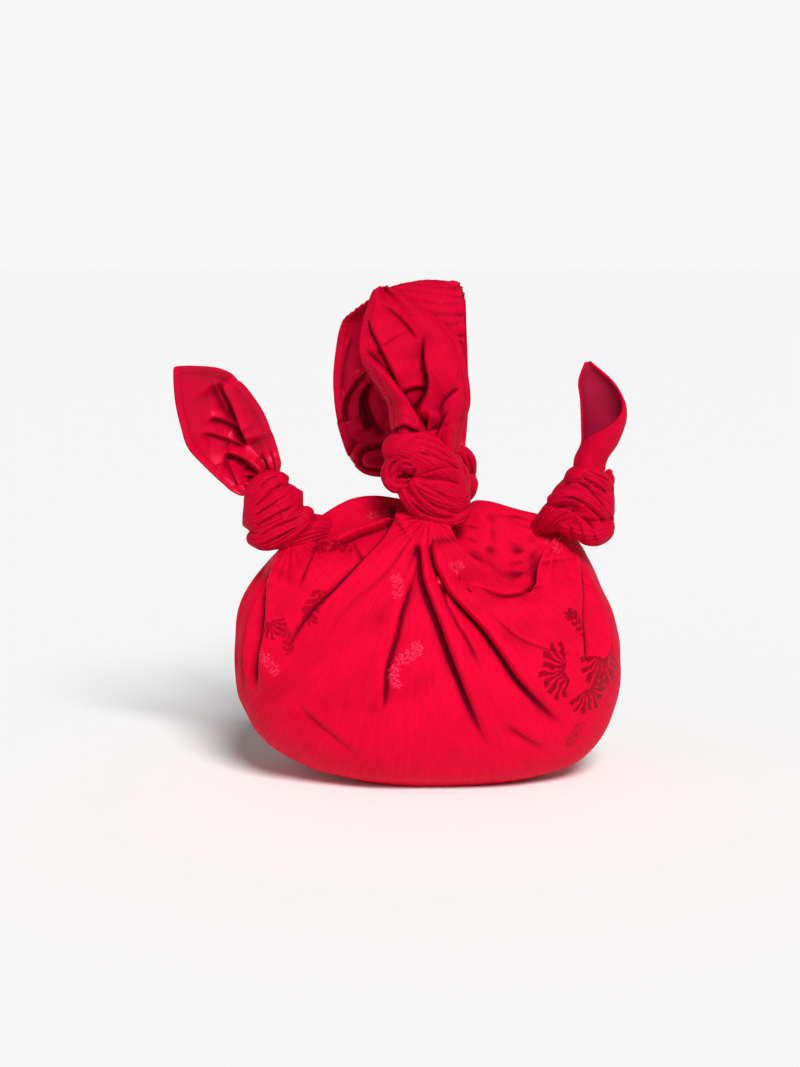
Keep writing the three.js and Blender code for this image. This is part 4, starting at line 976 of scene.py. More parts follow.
def rear_band_grid(rows, columns):
    share, across = np.meshgrid(np.linspace(0, 1, rows), np.linspace(0, 1, columns), indexing="ij")
    table = np.array(REAR_BAND, float)
    lx, ly, lz, rx, ry, rz, bulge = (
        table_curve(table[:, 0], table[:, k], share[:, 0])[:, None] for k in range(1, 8)
    )
    base = knot_axis(*KNOT_PLACES["front"])
    bow = bulge * 4 * across * (1 - across)
    dome = 0.16 * across * (1 - across) * smooth((share - 0.66) / 0.12)
    return np.stack(
        [
            base[0] + mix(lx, rx, across) * HANDLE_WIDTH,
            base[1] + (mix(ly, ry, across) + bow) * HANDLE_DEPTH + root_folds(across, share),
            base[2] + (mix(lz, rz, across) + dome) * HANDLE_RISE,
        ],
        axis=-1,
    )


# Kinds of node that the materials often use
MATH, VECTORS, RAMP = "ShaderNodeMath", "ShaderNodeVectorMath", "ShaderNodeMapRange"
MIX, NOISE, SURFACE = "ShaderNodeMix", "ShaderNodeTexNoise", "ShaderNodeBsdfPrincipled"


def add_node(tree, kind, inputs=(), out=0, **settings):
    """Adds a node with its settings and inputs, and gives back one of its outputs, or itself."""
    node = tree.nodes.new(kind)
    for key, value in settings.items():
        setattr(node, key, value)
    for key, value in inputs.items() if isinstance(inputs, dict) else enumerate(inputs):
        if isinstance(value, bpy.types.NodeSocket):
            tree.links.new(value, node.inputs[key])
        else:
            node.inputs[key].default_value = value
    return node if out is None else node.outputs[out]


def new_material(name):
    material = bpy.data.materials.new(name)
    material.use_nodes = True
    material.node_tree.nodes.clear()
    return material, material.node_tree


def needle_fan(tree, r, angle):
    """A fan of 9 club-ended pine needles, 0.38 radians apart, that opens upwards."""
    pitch = 0.38
    turns = add_node(tree, MATH, (angle, pitch), operation="DIVIDE")
    number = add_node(tree, MATH, (turns,), operation="ROUND")
    off = add_node(tree, MATH, (turns, number), operation="SUBTRACT")
    off = add_node(tree, MATH, (off,), operation="ABSOLUTE")
    arc = add_node(tree, MATH, (r, pitch), operation="MULTIPLY")
    off = add_node(tree, MATH, (off, arc), operation="MULTIPLY")
    half = add_node(tree, RAMP, (r, 0.2, 0.95, 0.032, 0.095), interpolation_type="SMOOTHSTEP")
    near = add_node(tree, MATH, (half, off), operation="SUBTRACT")
    needle = add_node(tree, RAMP, (near, -0.012, 0.012))
    sway = add_node(tree, MATH, (number, 2.4), operation="MULTIPLY")
    sway = add_node(tree, MATH, (sway,), operation="COSINE")
    reach = add_node(tree, MATH, (sway, 0.07, 0.9), operation="MULTIPLY_ADD")
    inside = add_node(tree, MATH, (r, reach), operation="LESS_THAN")
    outside = add_node(tree, MATH, (r, 0.07), operation="GREATER_THAN")
    wide = add_node(tree, MATH, (angle,), operation="ABSOLUTE")
    wide = add_node(tree, MATH, (wide, 1.7), operation="LESS_THAN")
    mask = add_node(tree, MATH, (needle, inside), operation="MULTIPLY")
    mask = add_node(tree, MATH, (mask, outside), operation="MULTIPLY")
    return add_node(tree, MATH, (mask, wide), operation="MULTIPLY")


def leafy_sprig(tree, u, v):
    """A bent stem with pairs of leaves and a five-petalled flower at its top."""
    bend = add_node(tree, MATH, (v, 3.0), operation="MULTIPLY")
    bend = add_node(tree, MATH, (bend,), operation="SINE")
    x = add_node(tree, MATH, (bend, -0.13, u), operation="MULTIPLY_ADD")
    x_size = add_node(tree, MATH, (x,), operation="ABSOLUTE")
    stem = add_node(tree, RAMP, (x_size, 0.05, 0.025))
    side = add_node(tree, MATH, (x,), operation="SIGN")
    cell = add_node(tree, MATH, (side, 0.25), operation="MULTIPLY")
    cell = add_node(tree, MATH, (v, 2.5, cell), operation="MULTIPLY_ADD")
    number = add_node(tree, MATH, (cell,), operation="ROUND")
    off = add_node(tree, MATH, (cell, number), operation="SUBTRACT")
    off = add_node(tree, MATH, (off, 2.5), operation="DIVIDE")
    reach = add_node(tree, MATH, (x_size, 0.22), operation="SUBTRACT")
    spot = add_node(tree, "ShaderNodeCombineXYZ", (reach, off))
    spot = add_node(tree, "ShaderNodeVectorRotate", {"Vector": spot, "Angle": -0.7}, rotation_type="Z_AXIS")
    spot = add_node(tree, VECTORS, (spot, (3.6, 8.5, 0)), operation="MULTIPLY")
    leaf = add_node(tree, VECTORS, (spot,), out="Value", operation="LENGTH")
    leaf = add_node(tree, RAMP, (leaf, 1.05, 0.9))
    v_size = add_node(tree, MATH, (v,), operation="ABSOLUTE")
    length = add_node(tree, MATH, (v_size, 0.72), operation="LESS_THAN")
    top = add_node(tree, MATH, (v, 0.7), operation="SUBTRACT")
    petals = add_node(tree, MATH, (x, top), operation="ARCTAN2")
    petals = add_node(tree, MATH, (petals, 5), operation="MULTIPLY")
    petals = add_node(tree, MATH, (petals,), operation="COSINE")
    petals = add_node(tree, MATH, (petals, 0.12, 0.27), operation="MULTIPLY_ADD")
    spot = add_node(tree, "ShaderNodeCombineXYZ", (x, top))
    far = add_node(tree, VECTORS, (spot,), out="Value", operation="LENGTH")
    flower = add_node(tree, MATH, (petals, far), operation="SUBTRACT")
    flower = add_node(tree, RAMP, (flower, -0.01, 0.02))
    plant = add_node(tree, MATH, (stem, leaf), operation="MAXIMUM")
    plant = add_node(tree, MATH, (plant, length), operation="MULTIPLY")
    return add_node(tree, MATH, (plant, flower), operation="MAXIMUM")


def woven_layer(tree, layer):
    """One layer of motifs on the pouch: how much of a dark one and of a light one shows."""
    field = add_node(tree, "ShaderNodeAttribute", out="Vector", attribute_name="motif_" + layer)
    parts = add_node(tree, "ShaderNodeSeparateXYZ", (field,), out=None)
    code = parts.outputs[2]
    # The weave steps and loses its outline over folds, so a motif is never drawn cleanly.
    worn = add_node(tree, NOISE, {"Vector": field, "Scale": 3.2, "Detail": 3}, out="Color")
    worn = add_node(tree, VECTORS, (worn, (0.5, 0.5, 0.5)), operation="SUBTRACT")
    worn = add_node(tree, VECTORS, {0: worn, "Scale": 0.34}, operation="SCALE")
    moved = add_node(tree, VECTORS, (field, worn), operation="ADD")
    u, v, _ = add_node(tree, "ShaderNodeSeparateXYZ", (moved,), out=None).outputs
    flat = add_node(tree, "ShaderNodeCombineXYZ", (u, v))
    r = add_node(tree, VECTORS, (flat,), out="Value", operation="LENGTH")
    angle = add_node(tree, MATH, (u, v), operation="ARCTAN2")
    fan = needle_fan(tree, r, angle)
    sprig = leafy_sprig(tree, u, v)
    size = add_node(tree, MATH, (code,), operation="ABSOLUTE")
    is_sprig = add_node(tree, MATH, (size, 1.6), operation="GREATER_THAN")
    shape = add_node(tree, MIX, {0: is_sprig, 2: fan, 3: sprig}, data_type="FLOAT")
    tone = add_node(tree, MATH, (size, 2.0), operation="MODULO")
    shape = add_node(tree, MATH, (shape, tone), operation="MULTIPLY")
    light = add_node(tree, MATH, (code, 0.1), operation="GREATER_THAN")
    dark = add_node(tree, MATH, (code, -0.1), operation="LESS_THAN")
    return (
        add_node(tree, MATH, (shape, dark), operation="MULTIPLY"),
        add_node(tree, MATH, (shape, light), operation="MULTIPLY"),
    )


def make_crepe(name, ground, threads, woven):
    """Silk crepe: high-twist yarn makes it matt and finely puckered. Motifs float in it as satin spots."""
    material, tree = new_material(name)
    plain, puckered, dark_motif, light_motif, fold_shade = (linear(colour) for colour in ground)
    if threads:
        place = add_node(tree, "ShaderNodeAttribute", out="Vector", attribute_name="thread")
    else:
        place = add_node(tree, "ShaderNodeTexCoord", out="Object")
        place = add_node(tree, VECTORS, {0: place, "Scale": 1000}, operation="SCALE")
    # Puckers of crepe are about 2 mm apart across the threads and run on for 20 mm along them, and in
    # the knots, where the cloth is pulled every way, they are 3 mm.
    spread = (0.5, 0.05, 0) if threads else (0.3, 0.3, 0.3)
    stretched = add_node(tree, VECTORS, (place, spread), operation="MULTIPLY")
    pucker = add_node(tree, NOISE, {"Vector": stretched, "Scale": 1, "Detail": 2, "Roughness": 0.55})
    # The grain of the yarn is 0.3 mm, drawn at 1 mm so that it shows.
    grain = add_node(tree, NOISE, {"Vector": place, "Scale": 1.0, "Detail": 1})
    cloud = add_node(tree, NOISE, {"Vector": place, "Scale": 0.03, "Detail": 2})
    height = add_node(tree, MATH, (grain, 0.35, pucker), operation="MULTIPLY_ADD")
    # Painted shade in the puckers: the colour darkens towards the pucker colour as the pucker noise rises,
    # and the slow cloud adds a little tone at random.
    shade = add_node(tree, RAMP, (pucker, 0.3, 0.7, 0.0, 0.32))
    soft = add_node(tree, RAMP, (cloud, 0.35, 0.65, 0.0, 0.12))
    shade = add_node(tree, MATH, (shade, soft), operation="ADD")
    colour = add_node(tree, MIX, {0: shade, 6: plain, 7: puckered}, out=2, data_type="RGBA")
    # Painted shade in the folds: points that lie deep in a fold, by the hollow attribute, are darkened
    # towards the fold-shade colour; crests keep their colour.
    fold = add_node(tree, "ShaderNodeAttribute", out="Vector", attribute_name="hollow")
    close, broad, _ = add_node(tree, "ShaderNodeSeparateXYZ", (fold,), out=None).outputs
    close = add_node(tree, RAMP, (close, -0.05, 0.42, 0, 0.6))
    broad = add_node(tree, RAMP, (broad, -0.1, 3.2, 0, 0.65))
    deep = add_node(tree, MATH, (close, broad), operation="ADD", use_clamp=True)
    colour = add_node(tree, MIX, {0: deep, 6: colour, 7: fold_shade}, out=2, data_type="RGBA")
    if woven:
        darks, lights = zip(*(woven_layer(tree, layer) for layer in MOTIF_LAYERS))
        dark = add_node(tree, MATH, (darks[0], darks[1]), operation="MAXIMUM")
        dark = add_node(tree, MATH, (dark, darks[2]), operation="MAXIMUM")
        light = add_node(tree, MATH, (lights[0], lights[1]), operation="MAXIMUM")
        light = add_node(tree, MATH, (light, lights[2]), operation="MAXIMUM")
    else:
        # Parts of motifs caught in the folds, about 8 mm across.
        patch = add_node(tree, NOISE, {"Vector": place, "Scale": 0.13, "Detail": 4, "Distortion": 1.2})
        light = add_node(tree, RAMP, (patch, 0.68, 0.74, 0, 0.5))
        dark = add_node(tree, RAMP, (patch, 0.33, 0.28, 0, 0.5))
    # Floats of the weave glint one by one, so a light motif is broken into 1 mm sparks.
    spark = add_node(tree, NOISE, {"Vector": place, "Scale": 0.9, "Detail": 1})
    spark = add_node(tree, RAMP, (spark, 0.42, 0.62, 0.0, 0.6))
    light = add_node(tree, MATH, (light, spark), operation="MULTIPLY")
    dim = add_node(tree, RAMP, (grain, 0.3, 0.7, 0.75, 1))
    dark = add_node(tree, MATH, (dark, dim), operation="MULTIPLY")
    colour = add_node(tree, MIX, {0: dark, 6: colour, 7: dark_motif}, out=2, data_type="RGBA")
    colour = add_node(tree, MIX, {0: light, 6: colour, 7: light_motif}, out=2, data_type="RGBA")
    floats = add_node(tree, MATH, (dark, light), operation="MAXIMUM")
    rough = add_node(tree, RAMP, (floats, 0, 1, 0.68, 0.42))
    bump = add_node(tree, "ShaderNodeBump", {"Strength": 0.8, "Distance": 0.9 * MM, "Height": height})
    shader = add_node(
        tree,
        SURFACE,
        {
            "Base Color": colour,
            "Roughness": rough,
            "Normal": bump,
            "Specular IOR Level": 0.12,
            "Specular Tint": linear("#ff8098"),
            "Sheen Weight": 0.06,
            "Sheen Roughness": 0.4,
            "Sheen Tint": linear("#ff2050"),
        },
    )
    add_node(tree, "ShaderNodeOutputMaterial", (shader,), out=None)
    return material


def make_satin(name, face, fold, fold_shade):
    """Satin: long floats of fine yarn give a smooth, glossy face with soft broad highlights."""
    material, tree = new_material(name)
    place = add_node(tree, "ShaderNodeAttribute", out="Vector", attribute_name="thread")
    # Threads are 0.2 mm apart, drawn at 0.7 mm, and the slow waves of the cloth are 20 mm across.
    stretched = add_node(tree, VECTORS, (place, (1.4, 0.12, 1)), operation="MULTIPLY")
    fine = add_node(tree, NOISE, {"Vector": stretched, "Scale": 1, "Detail": 1})
    slow = add_node(tree, NOISE, {"Vector": place, "Scale": 0.05, "Detail": 1})
    height = add_node(tree, MATH, (slow, 9.0, fine), operation="MULTIPLY_ADD")
    # Painted shade on the slow waves: the colour darkens towards the wave-shade colour where the wave noise
    # is high.
    share = add_node(tree, RAMP, (slow, 0.35, 0.65, 0, 0.3))
    colour = add_node(tree, MIX, {0: share, 6: linear(face), 7: linear(fold)}, out=2, data_type="RGBA")
    # Painted shade in the folds: points deep in a broad fold are darkened towards the fold-shade colour.
    fold = add_node(tree, "ShaderNodeAttribute", out="Vector", attribute_name="hollow")
    _, broad, _ = add_node(tree, "ShaderNodeSeparateXYZ", (fold,), out=None).outputs
    deep = add_node(tree, RAMP, (broad, -0.2, 1.5, 0, 0.85))
    colour = add_node(tree, MIX, {0: deep, 6: colour, 7: linear(fold_shade)}, out=2, data_type="RGBA")
    rough = add_node(tree, RAMP, (fine, 0.3, 0.7, 0.3, 0.4))
    bump = add_node(tree, "ShaderNodeBump", {"Strength": 0.25, "Distance": 0.3 * MM, "Height": height})
    shader = add_node(
        tree,
        SURFACE,
        {
            "Base Color": colour,
            "Roughness": rough,
            "Normal": bump,
            "Specular IOR Level": 0.85,
            "Specular Tint": linear("#ff4a70"),
            "Anisotropic": 0.4,
        },
    )
    add_node(tree, "ShaderNodeOutputMaterial", (shader,), out=None)
    return material


def make_thread(name, colour):
    """Polyester sewing thread: twisted plies catch the light in slants 1 mm apart."""
    material, tree = new_material(name)
    place = add_node(tree, "ShaderNodeTexCoord", out="Object")
    ply = add_node(
        tree, "ShaderNodeTexWave", {"Vector": place, "Scale": 320, "Distortion": 0.5},
        bands_direction="DIAGONAL",
    )
    shade = add_node(tree, RAMP, (ply, 0, 1, 0, 0.5))
    colour = add_node(tree, MIX, {0: shade, 6: linear(colour), 7: linear("#90001e")}, out=2, data_type="RGBA")
    bump = add_node(tree, "ShaderNodeBump", {"Strength": 0.4, "Distance": 0.1 * MM, "Height": ply})
    shader = add_node(
        tree,
        SURFACE,
        {"Base Color": colour, "Roughness": 0.55, "Specular IOR Level": 0.1, "Normal": bump},
    )
    add_node(tree, "ShaderNodeOutputMaterial", (shader,), out=None)
    return material


def finished(obj, node):
    """The piece rides on the bag and stands for its CAD node."""
    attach(obj, "root")
    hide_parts(node)
    return obj


def material_of(name):
    return bpy.data.materials[name]


def stitch_tree():
    """Stitches set along a hem: capsules of thread, one for each pitch."""
    tree = bpy.data.node_groups.new("Hem stitches", "GeometryNodeTree")
    tree.interface.new_socket("Geometry", in_out="INPUT", socket_type="NodeSocketGeometry")
    for name, value in (("Pitch", 3.0 * MM), ("Stitch length", 2.2 * MM), ("Thickness", 0.7 * MM)):
        socket = tree.interface.new_socket(name, in_out="INPUT", socket_type="NodeSocketFloat")
        socket.default_value, socket.subtype = value, "DISTANCE"
    tree.interface.new_socket("Thread", in_out="INPUT", socket_type="NodeSocketMaterial")
    tree.interface.new_socket("Geometry", in_out="OUTPUT", socket_type="NodeSocketGeometry")
    given = add_node(tree, "NodeGroupInput", out=None)
    line = add_node(
        tree, "GeometryNodeResampleCurve",
        {"Curve": given.outputs["Geometry"], "Length": given.outputs["Pitch"]}, mode="LENGTH",
    )
    way = add_node(tree, "GeometryNodeInputTangent")
    turn = add_node(tree, "FunctionNodeAlignRotationToVector", {"Vector": way}, axis="Z")
    bead = add_node(tree, "GeometryNodeMeshUVSphere", {"Segments": 7, "Rings": 6, "Radius": 0.5})
    half = add_node(tree, "ShaderNodeCombineXYZ", {
        0: given.outputs["Thickness"], 1: given.outputs["Thickness"], 2: given.outputs["Stitch length"],
    })
    bead = add_node(tree, "GeometryNodeTransform", {"Geometry": bead, "Scale": half})
    spots = add_node(
        tree, "GeometryNodeInstanceOnPoints", {"Points": line, "Instance": bead, "Rotation": turn}
    )
    real = add_node(tree, "GeometryNodeRealizeInstances", {"Geometry": spots})
    thread = given.outputs["Thread"]
    dressed = add_node(tree, "GeometryNodeSetMaterial", {"Geometry": real, "Material": thread})
    add_node(tree, "NodeGroupOutput", (dressed,), out=None)
    return tree


def make_stitches(name, line, sizes):
    """A run of stitches along a line of points in mm."""
    curve = bpy.data.curves.new(name + " line", "CURVE")
    curve.dimensions = "3D"
    spline = curve.splines.new("POLY")
    spline.points.add(len(line) - 1)
    for point, p in zip(spline.points, line):
        point.co = (*(p * MM), 1)
    obj = bpy.data.objects.new(name + " line", curve)
    bpy.context.scene.collection.objects.link(obj)
    tree = bpy.data.node_groups.get("Hem stitches") or stitch_tree()
    maker = obj.modifiers.new("Stitches", "NODES")
    maker.node_group = tree
    values = {
        "Pitch": sizes.stitch_pitch,
        "Stitch length": sizes.stitch_length,
        "Thickness": sizes.stitch_thickness,
        "Thread": material_of("Sewing thread"),
    }
    for item in tree.interface.items_tree:
        if item.in_out == "INPUT" and item.name in values:
            maker[item.identifier] = values[item.name]
    bpy.context.view_layer.update()
    mesh = bpy.data.meshes.new_from_object(obj.evaluated_get(bpy.context.evaluated_depsgraph_get()))
    mesh.name = name
    if not len(mesh.polygons):
        raise RuntimeError(f"{name} has no stitches")
    mesh.polygons.foreach_set("use_smooth", np.ones(len(mesh.polygons), bool))
    bpy.data.objects.remove(obj)
    made = bpy.data.objects.new(name, mesh)
    bpy.context.scene.collection.objects.link(made)
    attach(made, "root")
    return made


class HandbagSizes(bpy.types.PropertyGroup):
    wall: bpy.props.FloatProperty(
        name="Tail thickness", description="Crepe and satin together at a tail", default=1.3 * MM,
        unit="LENGTH", subtype="DISTANCE",
    )
    hem_width: bpy.props.FloatProperty(
        name="Hem width", description="How far the hem's stitches are from the edge", default=5.6 * MM,
        unit="LENGTH", subtype="DISTANCE",
    )
    stitch_pitch: bpy.props.FloatProperty(
        name="Stitch pitch", description="From one hem stitch to the next", default=3.0 * MM,
        unit="LENGTH", subtype="DISTANCE",
    )
    stitch_length: bpy.props.FloatProperty(
        name="Stitch length", description="Length of a hem stitch", default=2.0 * MM,
        unit="LENGTH", subtype="DISTANCE",
    )
    stitch_thickness: bpy.props.FloatProperty(
        name="Thread thickness", description="Thickness of the sewing thread", default=0.8 * MM,
        unit="LENGTH", subtype="DISTANCE",
    )


class HandbagColours(bpy.types.PropertyGroup):
    crepe: bpy.props.StringProperty(name="Crepe", description="Ground colour, sRGB hex", default="#d50330")
    # A darker copy of the crepe for the knots and tails: painted shade.
    shaded_crepe: bpy.props.StringProperty(
        name="Crepe of knots and tails", description="Ground colour darkened as painted shade, sRGB hex",
        default="#bf022c",
    )
    # Painted shade for the crepe's puckers.
    crepe_pucker_shade: bpy.props.StringProperty(
        name="Crepe in its puckers", description="Colour between the puckers, sRGB hex", default="#a80120"
    )
    dark_motif: bpy.props.StringProperty(
        name="Dark motif", description="Colour of motifs turned from the light, sRGB hex", default="#7c0016"
    )
    light_motif: bpy.props.StringProperty(
        name="Light motif", description="Colour of motifs that glint, sRGB hex", default="#f04468"
    )
    # Painted shade at the bottoms of folds, for the crepe and the satin.
    fold_shade: bpy.props.StringProperty(name="Bottom of a fold", description="sRGB hex", default="#5a0012")
    satin: bpy.props.StringProperty(
        name="Satin", description="Face of the lining, sRGB hex", default="#c0022c"
    )
    # Painted shade on the satin's slow waves.
    satin_wave_shade: bpy.props.StringProperty(
        name="Satin in its waves", description="Lining turned from the light, sRGB hex", default="#a80024"
    )


class HANDBAG_OT_materials(bpy.types.Operator):
    """Make the crepe, satin and thread"""

    bl_idname = "handbag.materials"
    bl_label = "Handbag materials"

    def execute(self, context):
        c = context.scene.handbag_colours
        ground = (c.crepe, c.crepe_pucker_shade, c.dark_motif, c.light_motif, c.fold_shade)
        make_crepe("Jacquard crepe", ground, threads=True, woven=True)
        # The knots and tails get a darker copy of the crepe ground as painted shade.
        shaded_ground = (c.shaded_crepe, *ground[1:])
        make_crepe("Crepe of the tails", shaded_ground, threads=True, woven=False)
        make_crepe("Crepe of the knots", shaded_ground, threads=False, woven=False)
        make_satin("Satin lining", c.satin, c.satin_wave_shade, c.fold_shade)
        # A darker copy of the satin for the rolled tail: painted shade for the inside of the roll.
        make_satin("Shaded satin of the rolled tail", "#a01434", "#80142e", c.fold_shade)
        make_thread("Sewing thread", "#c80430")
        return {"FINISHED"}


class HANDBAG_OT_pouch(bpy.types.Operator):
    """Make the pouch with its pleats, mouth and lining"""

    bl_idname = "handbag.pouch"
    bl_label = "Pouch"

    def execute(self, context):
        turns = np.concatenate(
            [
                np.linspace(0, 0.5, FRONT_COLUMNS, endpoint=False),
                np.linspace(0.5, 1, REAR_COLUMNS, endpoint=False),
            ]
        )
        rows = np.concatenate(
            [
                np.linspace(0.012, BASE_END, BASE_ROWS, endpoint=False),
                np.linspace(BASE_END, FOOT_END, FOOT_ROWS, endpoint=False),
                np.linspace(FOOT_END, 1, WALL_ROWS),
            ]
        )
        grid = pouch_grid(turns, rows)
        normals = grid_normals(grid, closed=True)
        normals[rows <= BASE_END] = (0, 0, -1)
        hang = smooth((rows - BASE_END) / 0.1)[:, None, None]
        front = pressed(grid, normals, FRONT_CREASES, FRONT_GATHERS) - grid
        rear = pressed(grid, normals, REAR_CREASES, REAR_GATHERS, behind=True) - grid
        face = grid + (front + rear + normals * ripple(grid, 26, 1.5)[..., None]) * hang
        around = (np.roll(face, 1, axis=1) + np.roll(face, -1, axis=1)) / 2
        face = mix(face, around, 0.4 * hang)
        face[1:-1] = mix(face[1:-1], (face[2:] + face[:-2]) / 2, 0.3 * hang[1:-1])
        face[..., 2] = np.maximum(face[..., 2], 0)
        outward = grid_normals(face, closed=True)
        outward[rows <= BASE_END] = (0, 0, -1)
        lip = len(rows) - LIP_ROWS
        steps = [np.arange(0, lip, LINING_STEP), np.arange(lip, len(rows), LIP_STEP), [len(rows) - 1]]
        keep = np.unique(np.concatenate(steps))
        depth = mix(LINING_GAP, LIP_WALL, smooth((rows[keep] - 0.84) / 0.15))[:, None, None]
        lining = face[keep] - outward[keep] * depth
        columns, size = len(turns), face.shape[0] * len(turns)

        def band(count, first):
            r, c = np.meshgrid(np.arange(count - 1), np.arange(columns), indexing="ij")
            a = (r * columns + c).ravel() + first
            b = (r * columns + (c + 1) % columns).ravel() + first
            return np.stack([a, b, b + columns, a + columns], axis=1)

        outer, inner = band(len(rows), 0), band(len(keep), size)[:, ::-1]
        c = np.arange(columns)
        after = (c + 1) % columns
        top, top_in = size - columns, size + (len(keep) - 1) * columns
        rim = np.stack([top + c, top + after, top_in + after, top_in + c], axis=1)
        total = size + len(keep) * columns
        foot = np.stack([np.full(columns, total), after, c], axis=1)
        foot_in = np.stack([np.full(columns, total + 1), size + c, size + after], axis=1)
        points = np.concatenate(
            [face.reshape(-1, 3), lining.reshape(-1, 3), [[*BASE_CENTRE, 0], [*BASE_CENTRE, LINING_GAP]]]
        )
        faces = [*outer.tolist(), *inner.tolist(), *rim.tolist(), *foot.tolist(), *foot_in.tolist()]
        slots = np.repeat([0, 1, 0, 1], [len(outer), len(inner), len(rim) + columns, columns])
        seams = []
        for behind, centre in DRAPE_CENTRES:
            d = seen(grid, behind) - np.array(centre)
            across = np.arctan2(d[..., 0], -d[..., 1]) * THREAD_RADIUS
            seams.append(np.stack([across, np.linalg.norm(d, axis=-1), 0 * across], axis=-1))
        thread = np.where((turns < 0.5)[None, :, None], seams[0], seams[1] + 500)
        padding = np.zeros((len(keep) * columns + 2, 3))
        thread = np.concatenate([thread.reshape(-1, 3), thread[keep].reshape(-1, 3), padding[:2]])
        fields = [("thread", thread)]
        for name, values in motif_fields(face.reshape(-1, 3), outward.reshape(-1, 3)):
            fields.append((name, np.concatenate([values, padding])))
        cloths = [material_of("Jacquard crepe"), material_of("Satin lining")]
        obj = add_mesh("Pouch", points, faces, cloths, slots, fields)
        finished(obj, "pouch")
        return {"FINISHED"}


class HANDBAG_OT_knots(bpy.types.Operator):
    """Make the four knots"""

    bl_idname = "handbag.knots"
    bl_label = "Knots"

    def execute(self, context):
        crepe = material_of("Crepe of the knots")
        finished(make_knot("Left_knot", LEFT_KNOT, LEFT_KNOT_CREASES, crepe), "left_knot")
        finished(make_knot("Right_knot", RIGHT_KNOT, RIGHT_KNOT_CREASES, crepe), "right_knot")
        finished(make_knot("Front_knot", FRONT_KNOT, FRONT_KNOT_CREASES, crepe), "front_knot")
        finished(make_knot("Rear_knot", REAR_KNOT, (), crepe), "rear_knot")
        return {"FINISHED"}


class HANDBAG_OT_tails(bpy.types.Operator):
    """Make the side tails and the two ends that fold into the handle"""

    bl_idname = "handbag.tails"
    bl_label = "Tails"

    def execute(self, context):
        sizes = context.scene.handbag_sizes
        wall, hem = sizes.wall / MM, sizes.hem_width / MM
        satin, crepe = material_of("Satin lining"), material_of("Crepe of the tails")
        shaded = material_of("Shaded satin of the rolled tail")

        grid = left_tail_grid(150, 100)
        near = edge_distance(grid)
        left, face, n = make_sheet("Left_tail", grid, wall, [satin, crepe], LEFT_TAIL_CREASES, near)
        finished(left, "left_tail")
        stitches = hem_stitches("Left_tail_stitches", face, n, near, hem, sizes)

        grid = right_tail_grid(130, 130)
        near = edge_distance(grid)
        right, face, n = make_sheet("Right_tail", grid, wall, [shaded, crepe], (), near)
        finished(right, "right_tail")

        grid = front_tail_grid(150, 110)
        near = edge_distance(grid)
        front, face, n = make_sheet("Front_tail", grid, wall, [crepe, satin], FRONT_TAIL_CREASES, near)
        finished(front, "front_tail")
        stitches = hem_stitches("Front_tail_stitches", face, n, near, hem, sizes)

        grid = rear_band_grid(230, 120)
        near = edge_distance(grid)
        share = np.linspace(0, 1, grid.shape[0])[:, None]
        across = np.linspace(0, 1, grid.shape[1])[None]
        ruffle = np.abs(np.sin(np.pi * 26 * share + 1.5 * np.sin(6 * across))) - 0.5
        crinkle = np.abs(np.sin(np.pi * 44 * share + 2.2 * np.sin(4 * across + 9 * share))) - 0.5
        over = smooth((share - 0.66) / 0.1)
        relief = over * (crinkle * 0.8 + ruffle * 2.6 * smooth((across - 0.82) / 0.14))
        band, face, n = make_sheet("Rear_band", grid, wall, [satin, crepe], REAR_BAND_CREASES, near, relief)
        finished(band, "rear_band")
        stitches = hem_stitches("Rear_band_stitches", face, n, near, hem, sizes)
        return {"FINISHED"}


def hem_stitches(name, face, normals, near, hem, sizes):
    """Runs of stitches at the hem's inner edge, on the two long sides of a tail."""
    runs = []
    columns = face.shape[1]
    for side, order in (("left", range(columns // 2)), ("right", range(columns - 1, columns // 2, -1))):
        order = np.array(list(order))
        line = []
        for r in range(int(0.14 * len(face)), len(face) - 2):
            gaps = near[r, order]
            if gaps.max() < hem:
                continue
            k = int(np.argmax(gaps >= hem))
            line.append(face[r, order[k]] + normals[r, order[k]] * HEM_RELIEF)
        if len(line) > 10:
            line = np.array(line)
            ease = np.ones(5) / 5
            line[2:-2] = np.stack([np.convolve(line[:, k], ease, "valid") for k in range(3)], axis=1)
            runs.append(make_stitches(f"{name}_{side}", line, sizes))
    return runs


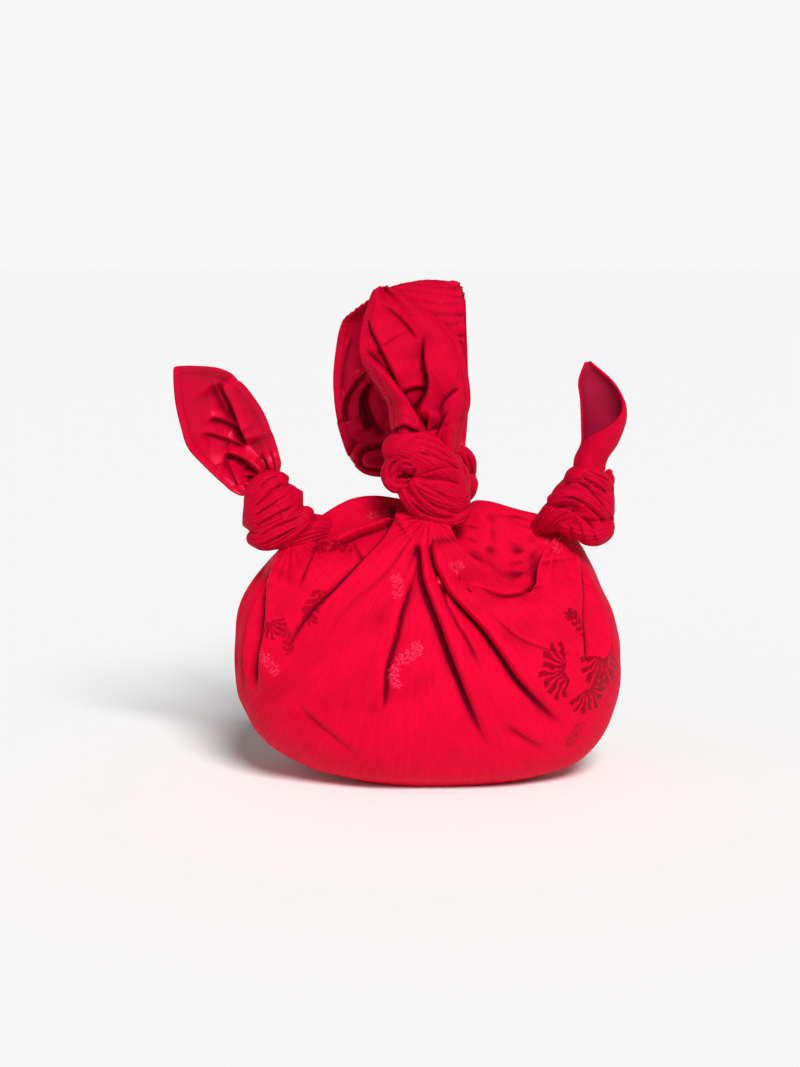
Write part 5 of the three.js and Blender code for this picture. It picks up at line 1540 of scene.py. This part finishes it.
class HANDBAG_OT_stage(bpy.types.Operator):
    """Make the floor, the lights and the camera"""

    bl_idname = "handbag.stage"
    bl_label = "Stage"

    def execute(self, context):
        scene = context.scene
        material, tree = new_material("Pale paper")
        place = add_node(tree, "ShaderNodeTexCoord", out="Object")
        grain = add_node(tree, NOISE, {"Vector": place, "Scale": 60, "Detail": 2})
        tone = add_node(
            tree, MIX, {0: grain, 6: linear("#f7f7f7"), 7: linear("#f5f5f5")},
            out=2, data_type="RGBA",
        )
        shader = add_node(tree, SURFACE, {"Base Color": tone, "Roughness": 0.9, "Specular IOR Level": 0.1})
        add_node(tree, "ShaderNodeOutputMaterial", (shader,), out=None)
        mesh = bpy.data.meshes.new("Floor")
        far = 30
        corners = [(-far, -far, 0), (far, -far, 0), (far, far, 0), (-far, far, 0)]
        mesh.from_pydata(corners, [], [(0, 1, 2, 3)])
        mesh.materials.append(material)
        floor = bpy.data.objects.new("Floor", mesh)
        scene.collection.objects.link(floor)

        world = bpy.data.worlds.new("Studio")
        scene.world = world
        world.use_nodes = True
        sky = world.node_tree
        way = add_node(sky, "ShaderNodeTexCoord", out="Generated")
        parts = add_node(sky, "ShaderNodeSeparateXYZ", (way,), out=None)
        high = add_node(sky, RAMP, (parts.outputs[2], 0.12, 0.35))
        tone = add_node(
            sky, MIX, {0: high, 6: linear("#f7f7f7"), 7: linear("#707070")}, out=2, data_type="RGBA"
        )
        sky.links.new(tone, sky.nodes["Background"].inputs["Color"])
        lights = (
            # name, degrees to the right of the camera, height in degrees, softness in degrees, strength
            ("Key", 16, 42, 22, 3.7),
            ("Fill", -50, 30, 60, 0.12),
        )
        for name, across, height, softness, strength in lights:
            light = bpy.data.lights.new(name, "SUN")
            light.angle, light.energy = math.radians(softness), strength
            lamp = bpy.data.objects.new(name, light)
            scene.collection.objects.link(lamp)
            lamp.rotation_euler = (math.radians(90 - height), 0, math.radians(across))
        camera = bpy.data.cameras.new("Camera")
        camera.lens, camera.sensor_width = LENS, SENSOR
        obj = bpy.data.objects.new("Camera", camera)
        scene.collection.objects.link(obj)
        obj.location = (
            AIM[0] * MM, -DISTANCE * math.cos(TILT) * MM, (AIM[2] + DISTANCE * math.sin(TILT)) * MM,
        )
        obj.rotation_euler = (math.pi / 2 - TILT, 0, 0)
        scene.camera = obj
        scene.view_settings.view_transform = "Standard"
        return {"FINISHED"}


class HANDBAG_PT_panel(bpy.types.Panel):
    bl_idname = "HANDBAG_PT_panel"
    bl_label = "Knotted Handbag"
    bl_space_type = "VIEW_3D"
    bl_region_type = "UI"
    bl_category = "Handbag"

    def draw(self, context):
        layout = self.layout
        for group in (context.scene.handbag_sizes, context.scene.handbag_colours):
            for key in group.__annotations__:
                layout.prop(group, key)
        for operator in OPERATORS:
            layout.operator(operator.bl_idname)


OPERATORS = (HANDBAG_OT_materials, HANDBAG_OT_pouch, HANDBAG_OT_knots, HANDBAG_OT_tails, HANDBAG_OT_stage)
CLASSES = (HandbagSizes, HandbagColours, *OPERATORS, HANDBAG_PT_panel)


def register():
    for cls in CLASSES:
        bpy.utils.register_class(cls)
    bpy.types.Scene.handbag_sizes = bpy.props.PointerProperty(type=HandbagSizes)
    bpy.types.Scene.handbag_colours = bpy.props.PointerProperty(type=HandbagColours)


def unregister():
    del bpy.types.Scene.handbag_colours
    del bpy.types.Scene.handbag_sizes
    for cls in reversed(CLASSES):
        bpy.utils.unregister_class(cls)


def main():
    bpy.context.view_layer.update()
    register()
    bpy.ops.handbag.materials()
    bpy.ops.handbag.pouch()
    bpy.ops.handbag.knots()
    bpy.ops.handbag.tails()
    bpy.ops.handbag.stage()


if __name__ == "__main__":
    main()
